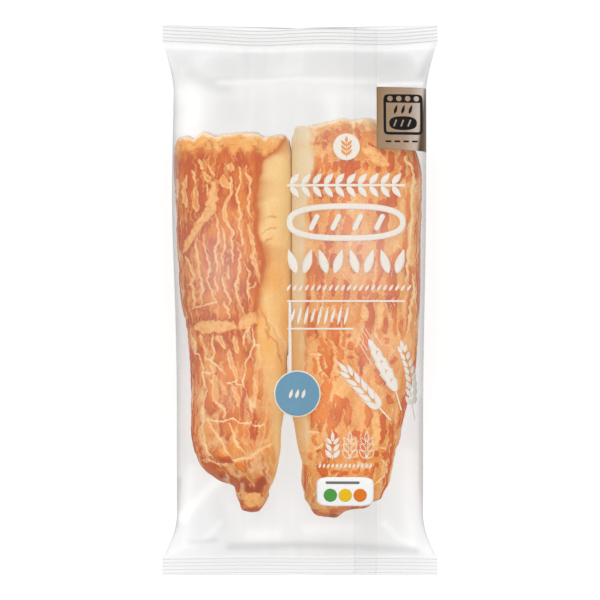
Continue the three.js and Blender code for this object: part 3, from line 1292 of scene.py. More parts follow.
    def add_streaks(self, field: CrustField, at: Places) -> None:
        """Lay the named streaks over the net, in their order, with jagged paths and ragged edges."""
        g, x, y = self.grain, at.x, at.y
        jagged_x = x + 0.75 * g.waves(x / 3.1, y / 2.3, 45, kinked=True) + 0.3 * g.waves(x / 1.4, y / 1.2, 46)
        jagged_y = y + 0.5 * g.waves(x / 2.3, y / 3.1, 55, kinked=True) + 0.3 * g.waves(x / 1.2, y / 1.4, 56)
        ragged = 1.0 + 0.45 * g.rough(x / 2.2, y / 3.0, 47)
        on_top = at.above(10.0, 6.0)
        for streak in self.streaks:
            off, reach = streak.measure(jagged_x, jagged_y)
            getattr(field, streak.kind.name.lower())(off, reach * ragged, on_top)

    def add_spots(self, field: CrustField, at: Places) -> None:
        """Lay the patches, with ragged edges."""
        g, x, y = self.grain, at.x, at.y
        on_top = at.above(8.0, 6.0)
        for spot in self.spots:
            across, along = (x - spot.x) / spot.reach[0], (y - spot.y) / spot.reach[1]
            edge = 1.0 - np.hypot(across, along) + 0.5 * g.rough(x / 2.6, y / 2.6, 57)
            inside = smooth(edge * 2.2) * on_top
            field.at_least(burn=spot.burn * inside, pale=spot.pale * inside)
            field.at_most(spot.pale * inside, island=-1.0)
            field.cream = field.cream * (1.0 - inside)

    def relief(self, field: CrustField, at: Places) -> Array:
        """Return how far the crust stands out: scales raised, cracks sunk, and the end torn."""
        g = self.grain
        plateau = smooth(field.island + 0.3) * field.paste
        line = (1.0 - smooth(field.border / 0.7)) * field.cream
        relief = self.relief_height * plateau - self.line_depth * line - field.groove
        rough = g.rough(at.around / 1.4, at.row / 1.4, 49)
        relief = relief + self.roughness * rough * (1.0 - field.sole)
        pores = self.pore_depth * g.rough(at.x / 2.0, at.z / 2.0, 51) * field.crumb
        return relief * (1.0 - field.crumb) + pores + self.tray_marks(at.x, at.y) * field.sole

    def crust(self, at: Places) -> CrustField:
        """Work out where the crust is cracked, bare, burnt or torn."""
        field = self.net(at)
        self.add_paste_edge(field, at)
        self.add_cut_end(field, at)
        self.add_streaks(field, at)
        self.add_spots(field, at)
        field.sole = field.sole * (1.0 - field.crumb)
        field.tone = np.clip(field.tone, 0.0, 1.0)
        return field

    def tray_marks(self, x: Array, y: Array) -> Array:
        """Return the dents that a perforated baking tray leaves in the sole: a round one each 5 mm."""
        pitch, radius, edge, depth = 5.0, 1.7, 0.8, 0.25
        off = np.hypot((x + 0.5 * pitch) % pitch - 0.5 * pitch, (y + 0.5 * pitch) % pitch - 0.5 * pitch)
        return depth * smooth((radius - off) / edge)

    def build(self, film: FilmWrap, finish: CrustFinish) -> None:
        """Build the loaf inside the film, which it stays clear of."""
        grid, places = self.smooth_form()
        field = self.crust(places)
        grid = self.held_in(grid + self.relief(field, places)[..., None] * outward(grid), film)
        start = np.array([grid[0, :, 0].mean(), grid[0, :, 1].min() - 0.1, grid[0, :, 2].mean()])
        end = grid[-1].mean(0)
        marks = {name: np.append(at, [at[0].mean(), at[-1].mean()]) for name, at in field.marks().items()}
        piece = Surface.tube(grid, start, end).piece(self.name, finish.material(), marks)

    def held_in(self, grid: Array, film: FilmWrap) -> Array:
        """Press the loaf softly where it would touch the film, and flat where it meets the other loaf."""
        row, angle = film.locate(grid[..., 0], grid[..., 1])
        roof = film.skin(row, angle)[..., 2] - self.roof_clearance
        ground = film.skin(row, -angle)[..., 2] + self.ground_clearance
        side, wall = self.bare_side, self.bare_side * self.contact - self.contact_gap
        grid = grid.copy()
        grid[..., 2] = np.maximum(held_under(grid[..., 2], roof, self.roof_give), ground)
        grid[..., 0] = side * held_under(side * grid[..., 0], wall, self.wall_give)
        return grid


def outward(grid: Array) -> Array:
    """Return a grid's outward directions, from each point's neighbours along and round it."""
    along = np.gradient(grid, axis=0)
    round_it = np.roll(grid, -1, axis=1) - np.roll(grid, 1, axis=1)
    return unit(np.cross(along, round_it))


LEFT_CRUST: tuple[Streak, ...] = streaks(
    StreakKind.RIBBON, (0.7, -30.2, 76, -30.6, 72, -28.1, 67.5, -27.9, 61.4, -29.7, 56.9, -28.1, 46.7),
    (1, -29.5, 42.8, -26.8, 34.6, -26, 29.3, -27.3, 25.7, -24, 15.9, -22.4, 8.6),
    (0.7, -34.6, 75.2, -33.6, 68.7, -34.8, 62.2, -35.9, 59.3, -33.4, 48.4, -34.6, 41.4),
    (0.7, -34.6, 41.4, -33, 34.6, -32.5, 30.6),
    (0.7, -34.2, 29.3, -33.8, 25.7, -34.6, 15, -36.3, 7.8, -35, 1.2, -31.7, -7.8),
    (1, -38.7, 69.5, -39.3, 64.2, -38.7, 61.4, -42.4, 52.4, -42, 45.1, -40.3, 41.4),
    (0.7, -41.1, 42.8, -38.2, 39.5, -37.8, 37.1, -38.7, 32.5, -38.1, 21.1),
    (0.7, -47.7, 48.5, -46.8, 42.8, -45.6, 34.6, -48.1, 27.7, -46.8, 20, -46.6, 15.4),
    (0.5, -48.5, 13.5, -46.8, 8.2, -45.8, 4.9),
    (0.6, -44.4, 42, -42.4, 36.7, -42.4, 28.5, -44.4, 24, -43.1, 19.2),
    (0.6, -43.5, 15.9, -42.8, 6.1, -40.3, 2.9, -39.3, -0.4, -40.3, -2.9),
    (0.8, -43.1, -0.4, -42.4, -3.6, -40.3, -6.1, -39.7, -10.2),
    (0.6, -54.9, 37.8, -53, 25.7, -50.9, 20.7, -52.5, 11.4, -50.9, 6.1, -46.8, -1.7),
    (0.7, -58.7, 35.4, -59.1, 30.6, -57, 22.4, -57.4, 17.5, -54.9, 6.1, -56.2, -2.9),
    (0.9, -64.8, 24.9, -62.7, 21.1, -60.2, 13.5, -61.5, 8.9, -60.2, 6.1, -59.9, -4),
    (0.7, -31.7, 21.6, -30.2, 17.5, -28.9, 15.9, -29.7, 10.2, -28.9, 6.1, -29.3, -1.2),
    (0.5, -28.9, 6.1, -26.4, 7.8, -25.3, 10.6), (0.5, -40.3, 19.6, -40.3, 14.3, -39.9, 11.4),
    (1.2, -64.4, 70.1, -66.1, 61.6, -64.4, 53), (1.7, -59.3, 63.3, -58.7, 50.2),
    (0.6, -61, 73.5, -59.9, 69.5, -58.7, 66.1), (0.8, -69.5, 68.4, -70, 57), (0.9, -57.4, 79.8, -54.9, 73.5),
    (0.6, -52.5, 76.4, -48.5, 70.3), (1.3, -54.9, 72, -50.5, 66.7), (0.5, -52.5, 65.5, -52.5, 57.6),
    (2, -43.9, 70.1, -41, 63.3), (1.6, -38.8, 77, -39.3, 73), (1.4, -49.3, -34.8, -48.5, -41),
    (1.4, -40.4, -29, -35.2, -45.6), (1.9, -48.7, -42.8, -48.2, -51.3, -47, -58),
    (0.8, -46.6, -58, -42.3, -62.2, -42.8, -66.5), (1.5, -38, -48, -35.9, -54.7, -34.2, -59.9),
    (1.1, -46.2, -20, -42.8, -27.4), (1.1, -37.5, -20, -35.6, -30.4), (0.9, -57, -19.4, -52.7, -30.4),
    (1.2, -27.5, -40.9, -25.2, -53.7, -26.1, -60.8),
    (0.8, -52.3, -67.9, -49.4, -73.1, -45.6, -78.8, -41.8, -85, -38.9, -89.3),
    (0.6, -39.9, -69.4, -38, -75.1, -35.6, -81.7, -31.4, -86.5),
    (1, -15.7, -81.2, -23.3, -85, -27.5, -88.8, -33.2, -90.2, -38, -90.7),
) + streaks(
    StreakKind.BAND, (2.5, -48.6, 66, -50.2, 54.2, -52.4, 48.3, -55, 44.5),
    (1.6, -53, 47.3, -58.7, 40.5, -62.7, 33.6, -65.6, 27.4),
    (3.1, -59, -15.7, -48.5, -15.4, -38.8, -14.3, -36.5, -14.8), (3.2, -33.5, -15.2, -29.6, -12, -24.5, -8),
) + streaks(
    StreakKind.TEAR, (0.5, -54.2, 49, -57.6, 43.3), (0.5, -61.5, -4.9, -57.8, -3.6, -52.5, -2.5, -46.8, -1.2),
    (0.6, -27.1, -15.2, -25.7, -25.2, -30.4, -35.2, -32, -46.1, -28.5, -56, -26.6, -63.7),
    (0.5, -26.1, -25.2, -23.3, -26.1), (0.5, -28, -15.2, -30.9, -18.5, -32.3, -25.2),
    (0.6, -49.4, -19, -49.4, -26.6, -48, -29.9, -49.9, -34.2, -47.5, -37.1, -44.2, -39.4),
    (0.5, -53.7, -31.4, -51.8, -33.7, -49.9, -34.2), (0.5, -55.6, -41.3, -51.8, -41.3, -49.9, -41.8),
    (0.6, -62.2, -20, -59.4, -25.2, -59.9, -30.4, -57, -31.4, -54.6, -43.7, -53.2, -51.3),
    (0.4, -53.2, -51.3, -54.6, -58.4, -55.1, -67.4),
    (0.5, -41.8, -47, -38.9, -46.6, -36.6, -45.1, -35.6, -47.3, -32.8, -47.8),
    (0.5, -55.3, -67.8, -50, -68, -43.9, -69, -37.6, -66.8, -33.6, -69.9, -27.9, -69.6),
    (0.4, -27.9, -69.6, -25.7, -71.6, -20.5, -70.5),
    (0.4, -54.6, -67.4, -56, -72.7, -54.2, -77.4, -54.2, -81.7, -52.7, -85.5, -47.5, -91.2),
    (0.4, -33.2, -90.2, -38, -90.7, -41.8, -93.1, -45.6, -93.1, -52.3, -90.2, -56, -91.2),
    (0.3, -54.7, -91.8, -50.5, -95.5, -46.6, -97.3, -40.5, -103.5),
    (0.5, -20.5, -8, -13, -17.5, -8.5, -26, -6.5, -38),
) + streaks(
    StreakKind.SCALE, (1.8, -28.5, -32.5, -28.5, -55.9), (1.6, -22.5, -38.2, -22.2, -58.1),
    (2, -36.5, -92.3, -30.2, -96.9), (2.4, -54.7, -92.8, -49.6, -96.6, -44.6, -101),
    (2.2, -39.5, -99.5, -36.8, -104.5, -35, -110), (2.2, -49.5, -86, -43.4, -89.4, -38.5, -91.6),
) + streaks(
    # Creases with painted shade lines.
    StreakKind.CREASE, (0.6, -35.6, -11.4, -34.2, -17.1), (0.4, -23.9, 44.5, -17, 47.5, -12, 47),
    (0.4, -23, 36.5, -17, 40.5, -13, 41.5), (0.5, -22, 31, -16, 35.5),
    (0.8, -22.5, -4, -18.5, -12, -17.5, -22), (0.5, -20.5, -16, -13.5, -24, -10.5, -36),
) + streaks(
    StreakKind.BURNT,
    (1.6, -30.8, -103.2, -29.1, -106.6, -26.8, -108.2, -23.9, -107.4, -22.2, -104.3, -21.7, -102),
    (2, -23.2, -105.6, -21.4, -101.6), (1.4, -33.6, -101.8, -32.6, -103), (0.9, -45.6, -98.6, -43.2, -100.6),
    (0.8, -45.4, -89.6, -41.6, -90.6, -39, -91.4),
)


RIGHT_CRUST: tuple[Streak, ...] = streaks(
    StreakKind.SCALE, (0.9, 10, 93.7, 7.4, 83.2), (1.4, 13.1, 90.1, 14.6, 82.7), (1.1, 9.3, 83.6, 11.8, 78.7),
    (1.7, 14.3, 96.9, 16, 91.2), (2.3, 20.5, 95.8, 27.9, 98.6),
    (0.8, 6.1, 75.4, 7.8, 71.8, 6, 66.7, 5.3, 62.7), (1.4, 16.3, 77.9, 14.8, 72.2),
    (1.7, 20.3, 78.7, 19.4, 72.2), (1.1, 23.4, 78.1, 22.8, 75), (2, 34.2, 78.7, 28.9, 73.4, 25.7, 68.1),
    (1.3, 38.2, 77.9, 35.9, 72.6), (1.1, 31.7, 101.1, 33.4, 90.1), (1, 11.4, 71.3, 11.8, 68),
    (1.4, 19.4, 69.3, 18.8, 63.3), (2, 31.4, 67.3, 31, 60.4), (1.4, 10.6, 62.4, 12.2, 56.7),
    (1.7, 17, 57, 20.5, 55.3), (1.7, 26.8, 59.3, 28.1, 55.9), (1.1, 38.7, 88.7, 42, 84.4),
    (1.5, 46.4, 85.1, 46.7, 81.9), (1.7, 51.3, 84.7, 51.7, 78.1, 49.6, 71.6), (2, 59.9, 83.8, 57.4, 75.8),
    (1.2, 61.5, 81.5, 63.1, 71.6, 59.5, 66), (1.1, 44.8, 77, 43.5, 71.6), (1.4, 35.3, 68.5, 37.8, 65.2),
    (1.6, 39.5, 57.4, 40.7, 53), (1.8, 47.7, 57.8, 44.8, 52.1, 46, 45.6), (1.7, 53.4, 60.2, 52.4, 52.1),
    (1.3, 54.7, 68.4, 51.3, 64.4), (0.7, 6.1, 51.3, 6.5, 41.1), (1.1, 10.2, 43.1, 8.9, 34.6),
    (1.7, 18.2, 51.3, 17.9, 31.7), (2.4, 28.1, 48.8, 26, 39.1, 24.5, 31.7), (1.1, 11.8, 31.7, 12.2, 26),
    (1.1, 12.2, 23.6, 11.4, 16.3), (2.3, 19.4, 26.8, 18.8, 17.5), (1.1, 7.4, 18.8, 7.4, 10.6),
    (0.9, 13.5, 14.6, 11.8, 7.4), (1.4, 19.6, 13.5, 18.8, 6.5, 19.6, 1.7),
    (1.4, 24.5, 12.6, 26.4, 7.4, 26, 1.7, 24.5, -2.9), (2.3, 34.2, 26, 30.2, 14.6), (0.9, 4, 4.6, 4, 0.4),
    (1.1, 10.2, 3.2, 9.7, 0), (1.7, 35.3, 4.6, 33.4, 0.4), (1.7, 41.6, 40.5, 42, 33.1),
    (1.1, 34.6, 31.7, 32.5, 26.8), (2.2, 41, 24.7, 39.5, 18.2), (2.2, 39.5, 12.5, 36.7, 1.9),
    (0.9, 46.4, 35.7, 47.3, 18.2), (0.9, 50.1, 26.8, 50.5, 16.6), (1.9, 50.9, 12.5, 48.8, 3.6),
    (1.7, 42.8, 4.4, 42, 0.3), (2.1, 53.4, 7.6, 54.2, 1.1), (1.3, 53, -2.9, 53.4, -11.1, 53.5, -21.1),
    (1.4, 48.5, -9.5, 48.8, -15.6, 46.9, -18.8), (2.3, 38.7, -2.1, 39.5, -9.1, 41, -14.3),
    (1.4, 6, -6.8, 5.7, -16.5, 4.8, -22.2), (2, 20.2, -12.3, 19.3, -18.8), (1.4, 13.6, -24.6, 13.6, -26.2),
    (1.4, 10.5, -26.2, 11.2, -30.2), (1.4, 24.5, -23.7, 25, -26.8),
    (1.7, 22.8, -26.8, 23.3, -31.9, 25, -33.6), (1.4, 29.4, -23.3, 28, -28.5), (1.2, 24.5, -20.7, 29, -19.7),
    (1.8, 33.7, -26.8, 31.9, -30.7), (1.9, 28.5, -31, 28.5, -32.8), (2.2, 33.5, -33.5, 37, -32.5),
    (1.1, 12.3, -32.5, 12.3, -38.2), (1.3, 8.3, -32.5, 9.1, -42.1), (1.4, 14, -39, 14, -40.8),
    (1.3, 20.2, -42.5, 22.3, -48.2), (2, 14.8, -45, 14.5, -57.9),
    (2, 25.4, -54.4, 22.2, -60.4, 21.1, -68.4, 16, -73.3), (2, 25.4, -54.4, 28, -62.7, 26.3, -72.3),
    (1.8, 38.1, -57.9, 39.3, -64.4, 37.2, -72.8), (1.7, 13.1, -60.1, 13.6, -65.3, 11.3, -74.9),
    (1.4, 8.2, -59.9, 6.6, -73.3), (1.7, 48.2, -21.1, 49, -25), (1.6, 53.9, -31.9, 52.2, -36.4),
    (1.4, 49.5, -53, 51.8, -59.2), (2.3, 43, -38.2, 45.1, -47.8), (2.4, 47, -64, 46, -82.1),
    (1.1, 50.7, -70.1, 51.7, -80.6), (1.1, 30.5, -73, 30.5, -77), (1.6, 32.5, -74.4, 34.6, -80.6),
    (1.5, 8.2, -75.8, 9.2, -82.7), (1.6, 4.6, -85.8, 6.6, -90.9), (1.9, 10.8, -84.4, 10.8, -86),
    (2, 42.9, -85.2, 42.9, -88.9), (2, 48.6, -85.8, 49.1, -90.9), (1.3, 43.4, -92, 43.4, -95.1),
    (2.4, 10.3, -93.5, 14.9, -99.8), (2.3, 18.9, -96.4, 19.3, -98), (2.4, 25.1, -97.4, 25.5, -99),
    (2.4, 31.3, -96.4, 31.7, -98), (1.6, 37.2, -95, 37.2, -99.5), (1.7, 31, -89.1, 31, -90.7),
    (1, 61.5, 64.4, 60.6, 56.2, 61.5, 48.1, 61, 40.3),
    (0.8, 59.9, 41, 60.6, 36.1, 59.5, 28.8, 59.9, 23.5, 62.3, 18.2, 62.3, 5.2),
    (0.8, 62.3, 5.2, 60.6, -7.8, 60.6, -15.6, 59.2, -22.2),
) + streaks(
    StreakKind.BAND, (2.8, 36, 85, 44, 80, 49, 77), (1.6, 35.9, -2.9, 37.1, -10.8),
    (1.7, 46.2, -1.7, 44.5, -15.4), (1.9, 42.8, -63.8, 43, -83.8),
) + streaks(
    # Creases with painted shade lines, beside the gap and along the right side.
    StreakKind.CREASE, (0.9, 3.2, -13, 3.5, -28, 3, -42), (0.7, 59.2, 62, 60.4, 47, 58.9, 31, 58.6, 12),
) + streaks(
    StreakKind.RIBBON, (1.1, 34.2, 48.8, 32.1, 43.1, 31, 37.1, 27.7, 30.2), (0.9, 24.5, 24.9, 19.6, 16.7),
) + streaks(
    StreakKind.TEAR, (1.5, 60.6, 81.5, 59.9, 78.7, 63.1, 75.8, 64.8, 68.4, 63.5, 58.2, 62.7, 53),
    (1.6, 62.7, 53, 63.8, 48.1, 63.3, 40.5, 61.5, 26.8, 60.6, 12.5),
    (1.2, 63.5, 15, 64.8, 10.1, 64.8, 2.3, 62.3, -3.8, 62.7, -11.9, 61, -18.8),
    (0.6, 5.1, -74.4, 10.3, -74.9), (0.6, 8.7, -85.2, 13.4, -81.1), (0.6, 45, -83.7, 49, -84.2),
    (0.6, 46, -90.4, 50.2, -94.1), (0.6, 42.4, -104.9, 47.6, -100.3, 49.1, -96.1),
    (0.6, 5.7, -31.1, 8.3, -30.7, 13.1, -30.9), (0.5, 10.5, -32.9, 11.9, -39.9, 15.3, -43.8, 16.6, -45.1),
    (0.6, 30.5, 101, 30.2, 94),
)


def left_loaf() -> Loaf:
    """Describe the left half baguette, which narrows to a small nose."""
    return Loaf(
        name="left_loaf",
        grain=Grain(3),
        left=curve(
            -120.8, -28.6, -119.6, -32.7, -115.7, -34.1, -110.6, -36.4, -106.6, -37.1, -105.2, -39,
            -102.6, -44.8, -100.3, -48.3, -96.9, -52.9, -92.3, -56.9, -85.5, -59.4, -74, -61.3, -54, -61.3,
            -42.2, -62.2, -22.8, -63.3, -11.4, -65, 0, -67.3, 22.8, -69, 45.6, -70.1, 60, -71.2, 80, -71.4,
            86, -71.3, 92, -69.8,
        ),
        right=curve(
            -120.8, -27.6, -120.3, -24, -118.6, -22.3, -112.3, -18.3, -108.9, -17.5, -103.7, -15.5,
            -96.9, -13.5, -90, -12.2, -84, -11.3, -74, -11.1, -65.6, -9.9, -50, -7.9, -28.5, -6, -20, -4.4,
            84, -3.9, 92, -5.2,
        ),
        crown=curve(
            -120.8, 9.6, -119.6, 13.6, -116, 17.2, -110, 20.2, -105, 24.6, -98, 32, -88, 37.6, -70, 40.6,
            -40, 42.6, 0, 43.8, 50, 44.2, 80, 43, 88, 41, 92, 38.6,
        ),
        sole=curve(-120.8, 8, -119.6, 5.6, -116, 3.6, -106, 1.6, -92, 0.5, 84, 0.4, 92, 1.6),
        cut_edge=curve(
            -69.5, 92.4, -63.8, 93.2, -60.1, 92, -58.1, 93.5, -53.8, 95.2, -46.9, 93, -42.4, 94.1,
            -31.4, 94.6, -23.9, 94.3, -20.5, 92.5, -9.1, 93.5, -6.3, 91.8,
        ),
        paste_edge=curve(
            -120, -14, -100, -16, -84, -16, -62, -18, -42, -21.5, -25, -24.6, 3.4, -23.9, 20, -20.5,
            31.4, -22.2, 41.6, -24.5, 54.2, -24.5, 68, -23.4, 78, -22, 84.9, -12.5, 93, -8,
        ),
        paste_fade=curve(-120, 7, -75, 9, -50, 14, -35, 12, -18, 5, -8, 1.2),
        dough=curve(-120, 0.1, -60, 0.15, -25, 0.75, 15, 0.7, 65, 0.1, 90, 0),
        bare_side=1,
        lean=curve(-120, 0, 92, 2),
        run=curve(-160, -160, 100, 100),
        bake=curve(-120, 0.6, -90, 0.55, -50, 0.5, -20, 0.55, 20, 0.55, 80, 0.65),
        cover=curve(-120, 0.6, -100, 0.4, -85, 0.15, -60, 0.25, -22, 0.45, -12, 0.95),
        edge_sharpness=curve(-120, 1, -25, 1.2, -10, 2.5),
        calm=0.5,
        shards=1.0,
        scale_size=(5.2, 21.0),
        band=10.0,
        streaks=LEFT_CRUST,
        spots=(Spot(-26.2, -114, (8.5, 5), pale=0.65), Spot(-26.2, -120.4, (8, 2.6), burn=0.4)),
    )


def right_loaf() -> Loaf:
    """Describe the right half baguette, which is the longer one and has a blunt nose."""
    return Loaf(
        name="right_loaf",
        grain=Grain(8),
        left=curve(
            -123.9, 19.6, -123.3, 14.8, -122.4, 9.7, -120.6, 7.7, -118, 6.1, -113.4, 3, -108.3, 2.4,
            -102.6, 1.2, -94, 1.4, -85.5, -0.8, -78.1, -2.4, -71.3, -3.4, -65.6, -4.4, -40, -5.2, 80, -5.6,
            91.4, -5.2, 99, -3.6,
        ),
        right=curve(
            -123.9, 20.6, -122.8, 22, -120.1, 25.7, -118.6, 31, -118.2, 37.1, -115.1, 41.6, -112.9, 46.2,
            -109.4, 47.9, -106, 50.2, -99.8, 51.9, -92.9, 53.5, -86.6, 54.4, -82.7, 55.7, -75.8, 57.3,
            -66.7, 58.9, -57, 61.4, -39.9, 65.6, -25.7, 67, 0, 67.8, 29.1, 68.3, 48, 68.8, 53, 68.3, 58, 68.8,
            70, 68.8, 77.7, 67.8, 83.8, 66, 89, 63.8, 94, 59.5, 99, 53,
        ),
        crown=curve(
            -123.9, 12, -122.9, 17, -120, 22.5, -114, 29, -104, 35.6, -90, 40, -60, 43, -30, 44.6, 10, 45.6,
            60, 46, 88, 44.6, 95, 42.6, 99, 39.8,
        ),
        sole=curve(-123.9, 9, -122.9, 6, -119, 3, -110, 1.2, -98, 0.5, 92, 0.4, 99, 1.6),
        cut_edge=curve(
            -4, 98.8, 4.6, 99.2, 9.5, 100.1, 14.3, 101.2, 24.7, 102.9, 29.6, 102.3, 37.6, 103.4, 42.2, 102.2,
            50, 100, 58, 97,
        ),
        paste_edge=curve(-124, -6, -100, 2, -80, 4.5, -60, 4, -20, 3.4, 20, 3.2, 60, 5, 78, 8, 90, 6, 100, 6),
        paste_fade=curve(-120, 6, -60, 4.5, 100, 5),
        dough=curve(-124, 0.8, -30, 0.8, 0, 0.15, 100, 0.1),
        bare_side=-1,
        lean=curve(-120, 0, -30, 0, 20, 4, 100, 20),
        run=curve(-160, -160, -25, -25, 100, 52),
        bake=curve(-122, 0.1, -105, 0.55, -20, 0.5, 30, 0.45, 90, 0.6),
        cover=curve(-122, 1, -110, 0.5, -95, 0, -70, -0.3, -20, -0.3, 20, -0.15),
        edge_sharpness=curve(-124, 1.6, -60, 2.5),
        calm=0.25,
        shards=0.4,
        scale_size=(5.0, 23.0),
        band=7.0,
        streaks=RIGHT_CRUST,
        spots=(
            Spot(19, -122.4, (3, 1.8), burn=0.85), Spot(8.5, -120.5, (2.4, 1.8), burn=0.4),
            Spot(2.5, -86, (4, 8), pale=0.55), Spot(12, 84, (6, 6), pale=0.35),
            Spot(23, -50, (5, 6), pale=0.5), Spot(13, -117, (10, 5), pale=0.35),
        ),
    )


class Ink(Enum):
    """The inks of the front print."""

    WHITE = InkFinish("off_white_ink", lit(238, 229, 218))
    PLAIN = InkFinish("panel_white_ink", lit(252, 252, 251))
    BLUE = InkFinish("blue_ink", lit(113, 155, 180))
    # Painted shade: the ears' ink turns greyer towards the pouch's right side, where the film curves away.
    EAR = PaintedLightInk(
        "ear_ink_painted_shade", lit(238, 229, 218), bands=((58.0, lit(238, 229, 218)), (66.0, lit(200, 196, 187)))
    )
    # Painted light on the bronze: a sheen that brightens to a highlight near the pouch's right side, and
    # painted shade at its edge.
    BRONZE = PaintedLightInk(
        "bronze_ink_painted_sheen", lit(160, 131, 102), 0.4, 0.3, slant=0.12, level=117.0,
        bands=(
            (43.0, lit(154, 120, 84)), (50.0, lit(172, 143, 115)), (61.0, lit(184, 156, 132)),
            (69.2, lit(216, 200, 186)), (71.6, lit(98, 74, 52)),
        ),
    )
    DARK = InkFinish("dark_ink", lit(24, 23, 20))
    GOLD = InkFinish("golden_ink", lit(232, 160, 96))
    GREY = InkFinish("grey_ink", lit(118, 118, 116))
    GREEN = InkFinish("green_ink", lit(88, 160, 76))
    YELLOW = InkFinish("yellow_ink", lit(240, 196, 40))
    ORANGE = InkFinish("orange_ink", lit(232, 128, 44))


def ribbon(path: Array, half_width: Union[float, Array], looped: bool = False) -> Array:
    """Sweep a width, fixed or one for each point, along a path in the plane, which may be looped.

    The grid that comes back runs along the path and then across it.
    """
    ahead = np.roll(path, -1, axis=0) - np.roll(path, 1, axis=0) if looped else np.gradient(path, axis=0)
    ahead = unit(ahead)
    aside = np.stack([-ahead[:, 1], ahead[:, 0]], axis=1)[:, None]
    half_width = np.broadcast_to(half_width, (len(path),))[:, None, None]
    across = np.linspace(-1.0, 1.0, 5)[None, :, None]
    return path[:, None] + across * half_width * aside


def bar(start: Pair, end: Pair, width: float) -> Array:
    """Return a straight stroke with rounded ends, one point about each millimetre."""
    start, end = np.array(start, float), np.array(end, float)
    length = float(np.linalg.norm(end - start))
    reach = np.linspace(0.0, 1.0, max(int(length), 4) + 5)
    ease = np.sin(0.5 * np.pi * np.sin(0.5 * np.pi * (2.0 * reach - 1.0)))
    place = mix(0.5 * (ease + 1.0), reach, 0.6)
    to_tip = np.minimum(place, 1.0 - place) * length / (0.5 * width)
    half = 0.5 * width * np.sqrt(np.clip(1.0 - (1.0 - np.clip(to_tip, 0.02, 1.0)) ** 2, 0.0, 1.0))
    return ribbon(start + place[:, None] * (end - start), half)


def leaf(base: Array, tip: Array, width: float, line: float = 0.0, tail: float = 0.0) -> Array:
    """Return a leaf or grain, widest before its middle and pointed at its tip.

    Where line is over 0, this is a closed stroke so wide along the leaf's rim. Tail is the share of
    its length that is drawn out thin.
    """
    t = np.linspace(0.0, 1.0, 15)
    blade = np.sin(np.pi * np.minimum(t / (1.0 - tail), 1.0) ** 0.8)
    half = 0.5 * width * np.maximum(np.abs(blade) ** 0.9, 0.03 + 0.5 * np.minimum(1.0 - t, tail))
    whole = ribbon(base + t[:, None] * (tip - base), half)
    if not line:
        return whole
    rim = np.concatenate([whole[:, 0], whole[-2:0:-1, -1]])
    return ribbon(rim, line / 2.0, looped=True)


def plate(middle: Pair, half_size: Pair, power: float, n: int = 25) -> Array:
    """Return a filled superellipse: a disc at power 2, a rounded panel at a higher power.

    A square grid is drawn in along its rays, by its larger coordinate over its power norm.
    """
    line = np.linspace(-1.0, 1.0, n)
    a, b = np.meshgrid(line, line, indexing="ij")
    norm = (np.abs(a) ** power + np.abs(b) ** power) ** (1.0 / power)
    pull = np.maximum(np.abs(a), np.abs(b)) / np.maximum(norm, 1e-9)
    return np.stack([middle[0] + half_size[0] * a * pull, middle[1] + half_size[1] * b * pull], axis=-1)


def hoop(middle: Pair, half_size: Pair, power: float, width: float) -> Array:
    """Return a superellipse's outline as a closed stroke, with its points evenly spaced."""
    x, y = superellipse(np.linspace(0.0, math.tau, 1441), power)
    x, y = middle[0] + half_size[0] * x, middle[1] + half_size[1] * y
    length = added_up(np.hypot(np.diff(x), np.diff(y)))
    wanted = np.linspace(0.0, length[-1], 145)[:-1]
    path = np.stack([np.interp(wanted, length, x), np.interp(wanted, length, y)], axis=1)
    return ribbon(path, width / 2.0, looped=True)


